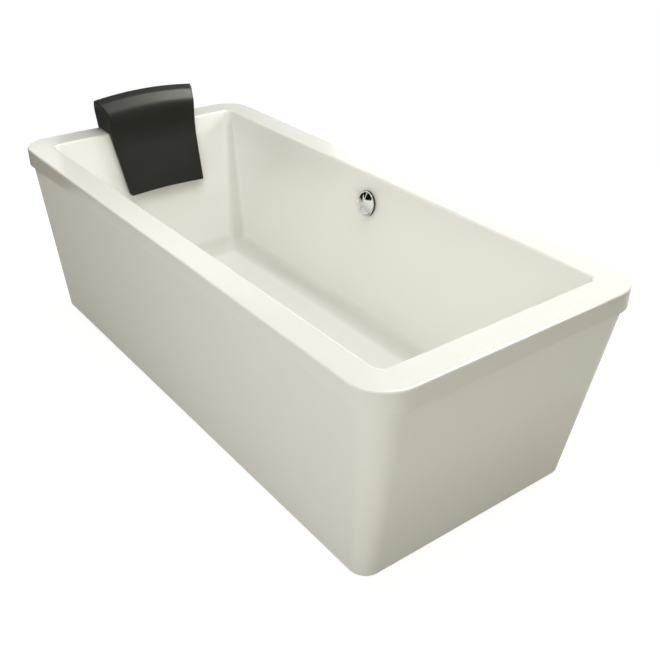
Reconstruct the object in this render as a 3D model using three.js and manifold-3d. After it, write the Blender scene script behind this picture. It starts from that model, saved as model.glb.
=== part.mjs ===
// A freestanding double-ended bathtub: acrylic basin and skirt, floor board, steel support frame on
// levelling feet, turn-cap overflow, cable-driven pop-up drain and a pillow hung over the head end.
//
// Units are millimetres and +Z is up. The floor is z = 0 and the origin lies under the middle of the
// rim. +X points to the foot end, and +Y to the long side that carries the overflow.

import * as THREE from "three";
import { mergeVertices } from "three/addons/utils/BufferGeometryUtils.js";
import Module from "manifold-3d";

const wasm = await Module();
wasm.setup();

const degree = Math.PI / 180;
const seat = 0.3; // clearance between two pieces that rest on each other
const running = 0.3; // radial clearance of a shaft or screw in its bore

// ---------------------------------------------------------------- driving dimensions

// Rim
const tubLength = 1800;
const tubWidth = 808;
const rimHeight = 575;
const rimCornerRadius = 93;
const rimEdgeRadius = 5;
const lipHeight = 52;
const shellWall = 6;

// Basin
const headDeck = 88;
const footDeck = 85;
const sideDeck = 77;
const headWallLean = 19;
const footWallLean = 18;
const sideWallLean = 9;
const mouthEdgeRadius = 8;
const mouthCornerRadius = 24;
const floorCornerRadius = 66;
const floorFillet = 60;
const floorFall = 4;
const drainPanRadius = 60;

// Skirt
const skirtWall = 5;
const skirtRecess = 12; // step back from the lip's face
const skirtHeadTaper = 40; // how far the bottom edge lies inside the rim, at each side
const skirtFootTaper = 100;
const skirtSideTaper = 61;
const skirtTopRadius = 74;
const skirtBottomRadius = 45;
const skirtFlange = 18;
const skirtFloorGap = 2;

// Floor board and frame
const frameClearance = 35; // under the cross tubes
const boardThickness = 18;
const boardMargin = 6;
const tubeSize = 30;
const tubeWall = 2;
const railSideInset = 33;
const railEndInset = 40;
const crossEndInset = 85;
const crossEndGap = 8;
const frameBoltRadius = 4;
const frameBoltHead = 5;
const frameBoltReach = 12;
const clipThickness = 3;
const clipWidth = 40;
const clipFoot = 42;
const clipHeight = 44;

// Levelling feet
const footSideInset = 83;
const footTravel = 15;
const studRadius = 6;
const padRadius = 25;
const padThickness = 8;
const padHubRadius = 12;
const padHubHeight = 20;
const nutHeight = 10;
const nutCornerRadius = 11;
const studSpareLength = 3;

// Overflow
const valveX = -6; // overflow and drain share one cross-section of the tub
const overflowDrop = 84;
const overflowHoleRadius = 23;
const capRadius = 39;
const capThickness = 9;
const capStandoff = 4.5;
const capDome = 1.6;
const capBevel = 3;
const capSocketDepth = 6;
const grubScrewRadius = 2;
const collarRadius = 30;
const collarThickness = 3;
const sleeveWall = 2.5;
const sleeveLength = 22;
const gasketThickness = 3;
const gasketWidth = 13;
const bodyWall = 3;
const bodyDepth = 34;
const bearingRadius = 8;
const bearingLength = 9;
const spindleRadius = 4;
const pulleyRadius = 14;
const pulleyThickness = 4;

// Hose and cable
const hoseRadius = 15;
const hoseWall = 2.7;
const spigotWall = 2.5;
const overflowSpigotLength = 34;
const hoseBend = 100;
const clampThickness = 2;
const clampWidth = 9;
const cableRadius = 2.5;
const cableBend = 20;
const cableRun = 20; // height of its run under the tub
const cableLead = 60; // straight down from the pulley
const cableSlant = 20;
const cableSpare = 2; // past the lug

// Drain
const drainHoleRadius = 25.5;
const flangeRadius = 36;
const flangeThickness = 3;
const throatRadius = 19.5;
const plugRadius = 30;
const plugThickness = 6.4;
const plugLift = 8;
const neckRadius = 14;
const neckLength = 6;
const sealWidth = 4.5;
const stemRadius = 4;
const stemSeat = 0.7; // how far the stem's end enters the plug's disc
const drainGasketWidth = 12;
const wasteTubeRadius = 29;
const wasteFlangeRadius = 38;
const wasteFlangeThickness = 3;
const wasteBottom = 16;
const inletHeight = 42;
const inletReach = 62;
const outletHeight = 44;
const outletReach = 60;
const outletRadius = 18;
const outletWall = 2.5;
const outletBend = 28;
const outletFloorGap = 3;
const sumpCapHeight = 12;
const sumpCapWall = 3;

// Lift lever of the drain
const leverOffset = 16;
const leverDrop = 36; // of its shaft below the waste body's top
const leverShaftRadius = 3;
const leverThickness = 5;
const leverGap = 0.5;
const leverFinger = 21;
const leverArm = 22;
const leverWidth = 6;
const cableLugThickness = 6;
const cableLugMargin = 6;
const cableLugRoot = 3; // how far the lug runs into the waste body
const cableLugGap = 18;

// Head pillow
const pillowOffset = 20; // it hangs a little to the overflow side of the middle
const pillowDrop = 193; // bottom edge below the rim
const pillowRise = 106; // top edge above the rim, at its two ends
const pillowCrown = 13;
const pillowBottomArch = 6;
const pillowTopHalf = 180;
const pillowRimHalf = 154;
const pillowBottomHalf = 136;
const pillowDeckReach = 86; // how far its head lies back over the rim
const pillowCrestReach = 30; // the top edge, measured back from the head wall's mouth
const pillowBottomThickness = 24;
const pillowRimThickness = 27;
const pillowWallGap = 4;
const suctionCupRadius = 18;
const suctionCupSpread = 70;
const suctionCupDrop = 120;

// ---------------------------------------------------------------- levels and places worked out

const halfLength = tubLength / 2;
const halfWidth = tubWidth / 2;
const crossBottom = frameClearance;
const crossTop = crossBottom + tubeSize;
const railTop = crossTop + seat + tubeSize;
const boardTop = railTop + seat + boardThickness;
const floorUnder = boardTop + seat;
const floorTop = floorUnder + shellWall;
const basinDepth = rimHeight - floorTop;
const lipBottom = rimHeight - lipHeight;

const walls = {
  head: { reach: halfLength - headDeck, lean: headWallLean * degree },
  foot: { reach: halfLength - footDeck, lean: footWallLean * degree },
  side: { reach: halfWidth - sideDeck, lean: sideWallLean * degree },
};

// ---------------------------------------------------------------- geometry helpers

// The signed volume of a closed mesh, positive when its faces point out.
function signedVolume(geometry) {
  const place = geometry.attributes.position;
  const corners = [0, 1, 2].map(() => new THREE.Vector3());
  let volume = 0;
  for (let i = 0; i < geometry.index.count; i += 3) {
    corners.forEach((corner, k) => corner.fromBufferAttribute(place, geometry.index.getX(i + k)));
    volume += corners[0].dot(corners[1].clone().cross(corners[2])) / 6;
  }
  return volume;
}

// Keeps only positions, merges shared corners and turns the faces outward.
function closed(geometry) {
  const bare = geometry.clone();
  Object.keys(bare.attributes)
    .filter((name) => name !== "position")
    .forEach((name) => bare.deleteAttribute(name));
  const merged = mergeVertices(bare, 1e-4);
  if (signedVolume(merged) < 0) {
    merged.index.array.reverse();
  }
  return merged;
}

function solidOf(geometry) {
  const mesh = closed(geometry);
  return new wasm.Manifold(
    new wasm.Mesh({
      numProp: 3,
      vertProperties: new Float32Array(mesh.attributes.position.array),
      triVerts: new Uint32Array(mesh.index.array),
    }),
  );
}

function geometryOf(solid) {
  const mesh = solid.getMesh();
  const geometry = new THREE.BufferGeometry();
  geometry.setAttribute("position", new THREE.BufferAttribute(mesh.vertProperties, 3));
  geometry.setIndex(new THREE.BufferAttribute(mesh.triVerts, 1));
  return geometry;
}

function cut(geometry, ...tools) {
  return geometryOf(tools.reduce((body, tool) => body.subtract(solidOf(tool)), solidOf(geometry)));
}

function join(geometry, ...others) {
  return geometryOf(others.reduce((body, other) => body.add(solidOf(other)), solidOf(geometry)));
}

function overlap(first, second) {
  return geometryOf(solidOf(first).intersect(solidOf(second)));
}

// A solid of revolution about Z. The profile is a list of [radius, z] corners; one that stays off
// the axis closes on itself.
function turned(profile, segments = 24) {
  const points = profile.map(([radius, z]) => new THREE.Vector2(radius, z));
  if (profile[0][0] > 0) {
    points.push(points[0].clone());
  }
  return closed(new THREE.LatheGeometry(points, segments).rotateX(Math.PI / 2));
}

function rod(radius, low, high, segments = 18) {
  const cylinder = new THREE.CylinderGeometry(radius, radius, high - low, segments);
  return cylinder.rotateX(Math.PI / 2).translate(0, 0, (low + high) / 2);
}

function ring(outer, inner, low, high, segments = 24) {
  const profile = [[inner, low], [outer, low], [outer, high], [inner, high]];
  return turned(profile, segments);
}

function hexNut(cornerRadius, bore, low, high) {
  return cut(rod(cornerRadius, low, high, 6), rod(bore, low - 1, high + 1));
}

function block(x0, x1, y0, y1, z0, z1) {
  const box = new THREE.BoxGeometry(x1 - x0, y1 - y0, z1 - z0);
  return box.translate((x0 + x1) / 2, (y0 + y1) / 2, (z0 + z1) / 2);
}

// A prism of an XZ or YZ outline, extruded along the third axis and centred on it.
function prismAlongX(outline, length) {
  const flat = new THREE.ExtrudeGeometry(outline, { depth: length, bevelEnabled: false, curveSegments: 4 });
  return flat.translate(0, 0, -length / 2).rotateX(Math.PI / 2).rotateZ(Math.PI / 2);
}

function prismAlongY(outline, length) {
  const flat = new THREE.ExtrudeGeometry(outline, { depth: length, bevelEnabled: false, curveSegments: 4 });
  return flat.translate(0, 0, -length / 2).rotateX(Math.PI / 2);
}

// A tube that follows a path; a bore of zero makes a solid cord. The bore is measured across its flats.
function pipe(path, radius, bore, steps, segments) {
  const section = new THREE.Shape().absarc(0, 0, radius, 0, 2 * Math.PI, false);
  if (bore > 0) {
    const reach = bore / Math.cos(Math.PI / segments);
    section.holes.push(new THREE.Path().absarc(0, 0, reach, 0, 2 * Math.PI, true));
  }
  const options = { steps, extrudePath: path, curveSegments: segments / 2, bevelEnabled: false };
  return new THREE.ExtrudeGeometry(section, options);
}

// A rounded rectangle in a horizontal plane, as a ring of points that all lofts share.
const cornerSteps = 6;
function rectRing(x0, x1, y0, y1, radius, z) {
  const centres = [
    [x1 - radius, y1 - radius],
    [x0 + radius, y1 - radius],
    [x0 + radius, y0 + radius],
    [x1 - radius, y0 + radius],
  ];
  return centres.flatMap(([cx, cy], quarter) =>
    Array.from({ length: cornerSteps + 1 }, (_, step) => {
      const angle = (quarter + step / cornerSteps) * (Math.PI / 2);
      return new THREE.Vector3(cx + radius * Math.cos(angle), cy + radius * Math.sin(angle), z);
    }),
  );
}

// Skins a stack of rings. An open stack gets a cap on each end, a looped one joins last to first.
function loft(rings, looped) {
  const count = rings[0].length;
  const points = rings.flat();
  const faces = [];
  const spans = looped ? rings.length : rings.length - 1;
  for (let i = 0; i < spans; i += 1) {
    const low = i * count;
    const high = ((i + 1) % rings.length) * count;
    for (let j = 0; j < count; j += 1) {
      const next = (j + 1) % count;
      faces.push(low + j, low + next, high + next, low + j, high + next, high + j);
    }
  }
  if (!looped) {
    [[0, 1], [rings.length - 1, 0]].forEach(([row, flip]) => {
      const centre = rings[row].reduce((sum, point) => sum.add(point), new THREE.Vector3());
      points.push(centre.divideScalar(count));
      for (let j = 0; j < count; j += 1) {
        const pair = [row * count + j, row * count + ((j + 1) % count)];
        faces.push(pair[flip], pair[1 - flip], points.length - 1);
      }
    });
  }
  const geometry = new THREE.BufferGeometry().setFromPoints(points);
  geometry.setIndex(faces);
  return closed(geometry);
}

// Drops of a quarter-round of the given radius, from its start to where a wall of this lean ends it.
function arcDrops(radius, lean, steps) {
  return Array.from({ length: steps + 1 }, (_, step) => {
    const angle = (step / steps) * (Math.PI / 2 - lean);
    return radius * (1 - Math.cos(angle));
  });
}

// ---------------------------------------------------------------- materials

function finish(color, roughness, metalness) {
  return new THREE.MeshStandardMaterial({ color, roughness, metalness });
}

const acrylic = finish(0xf2f1ea, 0.12, 0);
const boardWood = finish(0xc9a877, 0.7, 0);
const zincSteel = finish(0xa9adb0, 0.4, 0.9);
const framePaint = finish(0x3b3f42, 0.45, 0.3);
const chrome = finish(0xdedfe0, 0.08, 1);
const rubber = finish(0x26262a, 0.85, 0);
const whitePlastic = finish(0xe4e4df, 0.5, 0);
const greyPlastic = finish(0x6d7174, 0.55, 0);
const blackPlastic = finish(0x1d1e20, 0.6, 0);
const pillowSkin = finish(0x2c2c29, 0.5, 0);

const bathtub = new THREE.Group();

function place(parent, name, geometry, material) {
  const mesh = new THREE.Mesh(closed(geometry), material);
  mesh.name = name;
  parent.add(mesh);
  return mesh;
}

// ---------------------------------------------------------------- basin shell

const innerFace = { outset: 0, floor: floorTop + floorFall, fillet: floorFillet, edge: mouthEdgeRadius };
const outerFace = { outset: shellWall, floor: floorUnder, fillet: floorFillet + shellWall, edge: 0 };

// How far a wall's plane lies from the tub's middle at height z, before any rounding.
function planeReach(wall, z, face) {
  return wall.reach + face.outset / Math.cos(wall.lean) - (rimHeight - z) * Math.tan(wall.lean);
}

// The same with the fillet at the floor and the rounded edge at the rim.
function wallReach(wall, z, face) {
  const slope = 1 - Math.sin(wall.lean);
  const rise = z - face.floor;
  const drop = rimHeight - z;
  if (rise < face.fillet * slope) {
    const corner = planeReach(wall, face.floor, face) - (face.fillet * slope) / Math.cos(wall.lean);
    return corner + Math.sqrt(face.fillet ** 2 - (face.fillet - rise) ** 2);
  }
  if (drop < face.edge * slope) {
    const corner = wall.reach + (face.edge * slope) / Math.cos(wall.lean);
    return corner - Math.sqrt(face.edge ** 2 - (face.edge - drop) ** 2);
  }
  return planeReach(wall, z, face);
}

function basinRing(z, face) {
  const side = wallReach(walls.side, z, face);
  const growth = (floorCornerRadius - mouthCornerRadius) * ((rimHeight - z) / basinDepth);
  const rounding = side - planeReach(walls.side, z, face);
  const radius = mouthCornerRadius + growth + face.outset + rounding;
  return rectRing(-wallReach(walls.head, z, face), wallReach(walls.foot, z, face), -side, side, radius, z);
}

function rimRing(inset, z) {
  const x = halfLength - inset;
  const y = halfWidth - inset;
  return rectRing(-x, x, -y, y, rimCornerRadius - inset, z);
}

function basinShell() {
  const filletDrops = (face) => arcDrops(face.fillet, walls.side.lean, 5);
  const underside = filletDrops(outerFace).map((rise) => basinRing(outerFace.floor + rise, outerFace));
  const outerEdge = arcDrops(rimEdgeRadius, 0, 3)
    .reverse()
    .map((drop) => {
      const inset = rimEdgeRadius - Math.sqrt(rimEdgeRadius ** 2 - (rimEdgeRadius - drop) ** 2);
      return rimRing(inset, rimHeight - drop);
    });
  const mouth = arcDrops(mouthEdgeRadius, walls.side.lean, 3).map((drop) =>
    basinRing(rimHeight - drop, innerFace),
  );
  const bottom = filletDrops(innerFace)
    .reverse()
    .map((rise) => basinRing(innerFace.floor + rise, innerFace));
  const pan = drainPanRadius;
  return loft([
    ...underside,
    basinRing(rimHeight - shellWall, outerFace),
    rimRing(shellWall, rimHeight - shellWall),
    rimRing(shellWall, lipBottom),
    rimRing(0, lipBottom),
    ...outerEdge,
    ...mouth,
    ...bottom,
    rectRing(valveX - pan, valveX + pan, -pan, pan, pan, floorTop),
  ]);
}

// The overflow's own frame: its origin on the wall's inner face, +Z into the basin and +Y up the wall.
const overflow = new THREE.Group();
const overflowHeight = rimHeight - overflowDrop;
overflow.position.set(valveX, planeReach(walls.side, overflowHeight, innerFace), overflowHeight);
overflow.rotation.x = Math.PI / 2 - walls.side.lean;
overflow.updateMatrixWorld();
bathtub.add(overflow);

const overflowHole = rod(overflowHoleRadius, -3 * shellWall, shellWall, 32);
overflowHole.applyMatrix4(overflow.matrixWorld);
const drainHole = rod(drainHoleRadius, floorUnder - shellWall, floorTop + shellWall, 32);
drainHole.translate(valveX, 0, 0);
place(bathtub, "basin_shell", cut(basinShell(), overflowHole, drainHole), acrylic);

// ---------------------------------------------------------------- skirt shell

// The skirt tapers in a straight line from the lip's lower edge to the floor, and stands upright
// behind the lip.
function skirtReach(rimReach, taper, z) {
  const share = Math.min(z / lipBottom, 1);
  return rimReach - taper + (taper - skirtRecess) * share;
}

function skirtRing(z, inset) {
  const side = skirtReach(halfWidth, skirtSideTaper, z) - inset;
  const share = Math.min(z / lipBottom, 1);
  const radius = skirtBottomRadius + (skirtTopRadius - skirtBottomRadius) * share - inset;
  const head = skirtReach(halfLength, skirtHeadTaper, z) - inset;
  const foot = skirtReach(halfLength, skirtFootTaper, z) - inset;
  return rectRing(-head, foot, -side, side, radius, z);
}

const skirtTop = rimHeight - shellWall - seat;
const flangeTop = skirtFloorGap + skirtWall;
const skirt = loft(
  [
    skirtRing(skirtFloorGap, 0),
    skirtRing(lipBottom, 0),
    skirtRing(skirtTop, 0),
    skirtRing(skirtTop, skirtWall),
    skirtRing(lipBottom, skirtWall),
    skirtRing(flangeTop, skirtWall),
    skirtRing(flangeTop, skirtFlange),
    skirtRing(skirtFloorGap, skirtFlange),
  ],
  true,
);
place(bathtub, "skirt_shell", skirt, acrylic);

// ---------------------------------------------------------------- floor board and frame

const boardHead = -(wallReach(walls.head, floorUnder, outerFace) - boardMargin);
const boardFoot = wallReach(walls.foot, floorUnder, outerFace) - boardMargin;
const boardHalf = wallReach(walls.side, floorUnder, outerFace) - boardMargin;
const boardHoleRadius = wasteFlangeRadius + 10;
const boardHole = rod(boardHoleRadius, boardTop - 2 * boardThickness, boardTop + 1, 32);
const board = block(boardHead, boardFoot, -boardHalf, boardHalf, boardTop - boardThickness, boardTop);
place(bathtub, "floor_board", cut(board, boardHole.translate(valveX, 0, 0)), boardWood);

function squareSection() {
  const half = tubeSize / 2;
  const bore = half - tubeWall;
  const corners = (reach) => [[-1, -1], [1, -1], [1, 1], [-1, 1]].map(([x, y]) => [x * reach, y * reach]);
  const section = new THREE.Shape(corners(half).map(([x, y]) => new THREE.Vector2(x, y)));
  section.holes.push(new THREE.Path(corners(bore).map(([x, y]) => new THREE.Vector2(x, y))));
  return section;
}

const railOffset = boardHalf - railSideInset;
const railHead = boardHead + railEndInset;
const railFoot = boardFoot - railEndInset;
const railMiddle = (railHead + railFoot) / 2;
const crossPlaces = { head: railHead + crossEndInset, foot: railFoot - crossEndInset };
const crossHalf = skirtReach(halfWidth, skirtSideTaper, crossBottom) - skirtWall - crossEndGap;
const footOffset = crossHalf - footSideInset;
const flanks = { near: -1, far: 1 };

for (const [flank, sign] of Object.entries(flanks)) {
  const holes = Object.values(crossPlaces).map(() =>
    rod(frameBoltRadius + running, railTop - tubeSize - 1, railTop - tubeSize / 2, 16),
  );
  holes.forEach((hole, i) => hole.translate(Object.values(crossPlaces)[i], sign * railOffset, 0));
  const rail = prismAlongX(squareSection(), railFoot - railHead);
  rail.translate(railMiddle, sign * railOffset, railTop - tubeSize / 2);
  place(bathtub, `frame_rail_${flank}`, cut(rail, ...holes), framePaint);
}

for (const [end, x] of Object.entries(crossPlaces)) {
  const holes = Object.values(flanks).flatMap((sign) => [
    rod(frameBoltRadius + running, crossBottom - 1, crossTop + 1, 16).translate(x, sign * railOffset, 0),
    rod(studRadius + running, crossBottom - 1, crossTop + 1, 16).translate(x, sign * footOffset, 0),
  ]);
  const cross = prismAlongY(squareSection(), 2 * crossHalf).translate(x, 0, crossTop - tubeSize / 2);
  place(bathtub, `frame_cross_${end}`, cut(cross, ...holes), framePaint);
}

// A bolt from under the cross tube into the rail above it.
function frameBolt() {
  const headTop = crossBottom - seat;
  const head = rod(2 * frameBoltRadius, headTop - frameBoltHead, headTop, 6);
  return join(head, rod(frameBoltRadius, headTop - 1, railTop - tubeSize + frameBoltReach, 16));
}

// An angle that stands on the cross tube's end and follows the skirt's slope.
function skirtClip(sign) {
  const foot = crossTop + seat;
  const slope = (skirtSideTaper - skirtRecess) / lipBottom;
  const back = skirtReach(halfWidth, skirtSideTaper, foot) - skirtWall - seat;
  const outline = new THREE.Shape();
  outline.moveTo(sign * (back - clipFoot), foot);
  outline.lineTo(sign * back, foot);
  outline.lineTo(sign * (back + clipHeight * slope), foot + clipHeight);
  outline.lineTo(sign * (back + clipHeight * slope - clipThickness), foot + clipHeight);
  outline.lineTo(sign * (back + clipThickness * slope - clipThickness), foot + clipThickness);
  outline.lineTo(sign * (back - clipFoot), foot + clipThickness);
  return prismAlongX(outline, clipWidth);
}

// ---------------------------------------------------------------- levelling feet

const studTop = crossTop + seat + nutHeight + footTravel + studSpareLength;

function footPad() {
  const chamfer = 2;
  const bore = studRadius + running;
  return turned([
    [0, 0],
    [padRadius - chamfer, 0],
    [padRadius, chamfer],
    [padRadius, padThickness],
    [padHubRadius, padThickness + chamfer],
    [padHubRadius, padHubHeight],
    [bore, padHubHeight],
    [bore, padThickness],
    [0, padThickness],
  ]);
}

let corner = 0;
for (const x of Object.values(crossPlaces)) {
  for (const sign of Object.values(flanks)) {
    corner += 1;
    const leg = new THREE.Group();
    leg.position.set(x, sign * footOffset, 0);
    bathtub.add(leg);
    const bore = studRadius + running;
    place(leg, `foot_pad_${corner}`, footPad(), blackPlastic);
    place(leg, `foot_stud_${corner}`, rod(studRadius, padThickness + seat, studTop), zincSteel);
    const upper = crossTop + seat;
    place(leg, `foot_nut_${corner}`, hexNut(nutCornerRadius, bore, upper, upper + nutHeight), zincSteel);
    const lower = crossBottom - seat;
    place(leg, `lock_nut_${corner}`, hexNut(nutCornerRadius, bore, lower - nutHeight, lower), zincSteel);
    const bolt = place(bathtub, `frame_bolt_${corner}`, frameBolt(), zincSteel);
    bolt.position.set(x, sign * railOffset, 0);
    const clip = place(bathtub, `skirt_clip_${corner}`, skirtClip(sign), zincSteel);
    clip.position.x = x;
  }
}

// ---------------------------------------------------------------- overflow, in the wall's frame

const sleeveRadius = overflowHoleRadius - 0.5;
const sleeveBore = sleeveRadius - sleeveWall;
const spindleBore = spindleRadius + running;
const gasketTop = -shellWall - seat;
const bodyTop = gasketTop - gasketThickness - seat;
const bodyBack = bodyTop - bodyDepth;
const bodyBore = sleeveRadius + running;
const spigotRadius = hoseRadius - hoseWall - running;
const spigotBore = spigotRadius - spigotWall;
const spigotDepth = bodyBack + bodyWall + spigotRadius;
const capBack = capStandoff;
const capFront = capStandoff + capThickness;
const bearingBack = bodyBack - bearingLength;
const pulleyFront = bearingBack - seat;

const collar = turned([
  [sleeveBore, -sleeveLength],
  [sleeveRadius, -sleeveLength],
  [sleeveRadius, seat],
  [collarRadius, seat],
  [collarRadius, collarThickness],
  [sleeveBore, collarThickness],
]);
place(overflow, "overflow_collar", collar, chrome);

const overflowGasket = ring(
  overflowHoleRadius + gasketWidth,
  overflowHoleRadius,
  gasketTop - gasketThickness,
  gasketTop,
);
place(overflow, "overflow_gasket", overflowGasket, rubber);

// A cup behind the wall with a spigot down the wall for the hose, and a bearing for the spindle.
function overflowBody() {
  const cup = bodyBore + bodyWall;
  const shell = turned([
    [0, bearingBack],
    [bearingRadius, bearingBack],
    [bearingRadius, bodyBack],
    [cup, bodyBack],
    [cup, bodyTop - bodyWall],
    [overflowHoleRadius + gasketWidth, bodyTop - bodyWall],
    [overflowHoleRadius + gasketWidth, bodyTop],
    [0, bodyTop],
  ]);
  const reach = cup + overflowSpigotLength;
  const spigot = rod(spigotRadius, 0, reach).rotateX(Math.PI / 2).translate(0, 0, spigotDepth);
  const spigotHollow = rod(spigotBore, 0, reach + 1).rotateX(Math.PI / 2).translate(0, 0, spigotDepth);
  const chamber = rod(bodyBore, bodyBack + bodyWall, bodyTop + 1, 24);
  return cut(join(shell, spigot), chamber, spigotHollow, rod(spindleBore, bearingBack - 1, bodyTop));
}
place(overflow, "overflow_body", overflowBody(), greyPlastic);

// The turning cap: a low dome with a bevelled rim, a socket for the spindle and a grub screw hole.
function overflowCap() {
  const shell = turned(
    [
      [0, capBack],
      [capRadius - 1, capBack],
      [capRadius, capBack + 1],
      [capRadius, capFront - capBevel],
      [capRadius - capBevel, capFront],
      [capRadius * 0.6, capFront + capDome * 0.7],
      [0, capFront + capDome],
    ],
    40,
  );
  const grubHole = rod(grubScrewRadius + running, -capRadius - 1, 0, 12).rotateX(-Math.PI / 2);
  grubHole.translate(0, 0, capBack + capThickness / 2);
  return cut(shell, rod(spindleBore, capBack - 1, capBack + capSocketDepth), grubHole);
}
place(overflow, "overflow_cap", overflowCap(), chrome);

const grubScrew = rod(grubScrewRadius, 1 - capRadius, -spindleBore, 12).rotateX(-Math.PI / 2);
grubScrew.translate(0, 0, capBack + capThickness / 2);
place(overflow, "cap_grub_screw", grubScrew, zincSteel);

const spindleEnd = pulleyFront - pulleyThickness - 2;
const spindle = rod(spindleRadius, spindleEnd, capBack + capSocketDepth - seat);
place(overflow, "overflow_spindle", spindle, zincSteel);

// The pulley carries the cable in a shallow groove.
const pulley = turned([
  [spindleBore, pulleyFront - pulleyThickness],
  [pulleyRadius, pulleyFront - pulleyThickness],
  [pulleyRadius - 1.5, pulleyFront - pulleyThickness / 2],
  [pulleyRadius, pulleyFront],
  [spindleBore, pulleyFront],
]);
place(overflow, "cable_pulley", pulley, whitePlastic);

// ---------------------------------------------------------------- drain, in its own group

const drain = new THREE.Group();
drain.position.x = valveX;
drain.updateMatrixWorld();
bathtub.add(drain);

const flangeLow = floorTop + seat;
const flangeHigh = flangeLow + flangeThickness;
const drainSleeve = drainHoleRadius - 0.7;
const drainGasketTop = floorUnder - seat;
const wasteTop = drainGasketTop - gasketThickness - seat;
const wasteBore = drainSleeve + running;
const sleeveBottom = wasteTop - wasteFlangeThickness - 13;
const hubBore = stemRadius + running;
const hubLow = sleeveBottom + 4;
const hubHigh = hubLow + 6;
const leverHeight = wasteTop - leverDrop;
const leverTop = leverHeight + leverThickness / 2;
const stemBottom = leverTop + leverGap;
const plugLow = flangeHigh + seat;
const stemTop = plugLow + stemSeat;
const plugHigh = plugLow + plugThickness;

// The flange with its sleeve, and a hub on three spokes that guides the plug's stem.
function drainFlange() {
  const body = turned(
    [
      [throatRadius, sleeveBottom],
      [drainSleeve, sleeveBottom],
      [drainSleeve, flangeLow],
      [flangeRadius, flangeLow],
      [flangeRadius - 1.5, flangeHigh],
      [throatRadius + 2, flangeHigh],
      [throatRadius, flangeHigh - 1.5],
    ],
    28,
  );
  const spokes = [0, 1, 2].map((turn) => {
    const spoke = block(0, throatRadius + 1, -1.5, 1.5, hubLow, hubHigh);
    return spoke.rotateZ((turn * 2 * Math.PI) / 3);
  });
  const hub = rod(hubBore + 2.5, hubLow, hubHigh);
  return cut(join(body, hub, ...spokes), rod(hubBore, hubLow - 1, hubHigh + 1));
}
place(drain, "drain_flange", drainFlange(), chrome);

function drainPlug() {
  const neckBottom = plugLow - neckLength;
  const shell = turned(
    [
      [0, neckBottom],
      [neckRadius + 2, neckBottom],
      [neckRadius + 2, neckBottom + 1.8],
      [neckRadius, neckBottom + 1.8],
      [neckRadius, plugLow],
      [plugRadius - 1, plugLow],
      [plugRadius, plugLow + 1],
      [plugRadius, plugHigh - 3.4],
      [plugRadius - 1.6, plugHigh - 2.2],
      [plugRadius * 0.6, plugHigh - 0.7],
      [0, plugHigh],
    ],
    28,
  );
  return cut(shell, rod(hubBore, neckBottom - 1, stemTop + seat));
}
place(drain, "drain_plug", drainPlug(), chrome);
const sealInner = neckRadius + running;
const sealLow = plugLow - neckLength + 1.8 + seat;
place(drain, "plug_seal", ring(sealInner, sealInner + sealWidth, sealLow, plugLow - seat), rubber);
place(drain, "plug_stem", rod(stemRadius, stemBottom, stemTop), zincSteel);

const drainGasketInner = drainHoleRadius + 0.5;
const drainGasketLow = drainGasketTop - gasketThickness;
const drainGasketOuter = drainGasketInner + drainGasketWidth;
const drainGasket = ring(drainGasketOuter, drainGasketInner, drainGasketLow, drainGasketTop);
place(drain, "drain_gasket", drainGasket, rubber);

// The waste body: an upright tube with a hose inlet towards the overflow, an outlet towards the foot
// end, a bearing for the lever and a lug that holds the cable's sheath.
const bossEnd = wasteTubeRadius + 7;
const leverSide = -(bossEnd + seat + leverWidth / 2);
const lugX = -(leverOffset + leverArm);
const lugTop = leverHeight - cableLugGap;
const lugBottom = lugTop - cableLugThickness;

function wasteBody() {
  const tube = turned([
    [0, wasteBottom],
    [wasteTubeRadius, wasteBottom],
    [wasteTubeRadius, wasteTop - wasteFlangeThickness],
    [wasteFlangeRadius, wasteTop - wasteFlangeThickness],
    [wasteFlangeRadius, wasteTop],
    [0, wasteTop],
  ]);
  const inlet = (radius, reach) => rod(radius, 0, reach).rotateX(-Math.PI / 2).translate(0, 0, inletHeight);
  const outlet = (radius, reach) => rod(radius, 0, reach).rotateY(Math.PI / 2).translate(0, 0, outletHeight);
  const boss = (radius, reach) =>
    rod(radius, 0, reach).rotateX(Math.PI / 2).translate(-leverOffset, 0, leverHeight);
  const holeRadius = cableRadius + running;
  const lug = block(
    lugX - cableLugMargin,
    cableLugRoot - wasteTubeRadius,
    leverSide - cableLugMargin,
    0,
    lugBottom,
    lugTop,
  );
  const solid = join(
    tube,
    inlet(spigotRadius, inletReach),
    outlet(outletRadius, outletReach),
    boss(leverShaftRadius + 4, bossEnd),
    lug,
  );
  return cut(
    solid,
    rod(wasteBore, wasteBottom - 1, wasteTop + 1, 24),
    inlet(spigotBore, inletReach + 1),
    outlet(outletRadius - outletWall, outletReach + 1),
    boss(leverShaftRadius + running, bossEnd + 1),
    rod(holeRadius, lugBottom - 1, lugTop + 1, 12).translate(lugX, leverSide, 0),
  );
}
place(drain, "waste_body", wasteBody(), whitePlastic);

const capInner = wasteTubeRadius + running;
const sumpCap = turned([
  [0, wasteBottom - seat - sumpCapWall],
  [capInner + sumpCapWall, wasteBottom - seat - sumpCapWall],
  [capInner + sumpCapWall, wasteBottom - seat - sumpCapWall + sumpCapHeight],
  [capInner, wasteBottom - seat - sumpCapWall + sumpCapHeight],
  [capInner, wasteBottom - seat],
  [0, wasteBottom - seat],
]);
place(drain, "sump_cap", sumpCap, greyPlastic);

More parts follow.
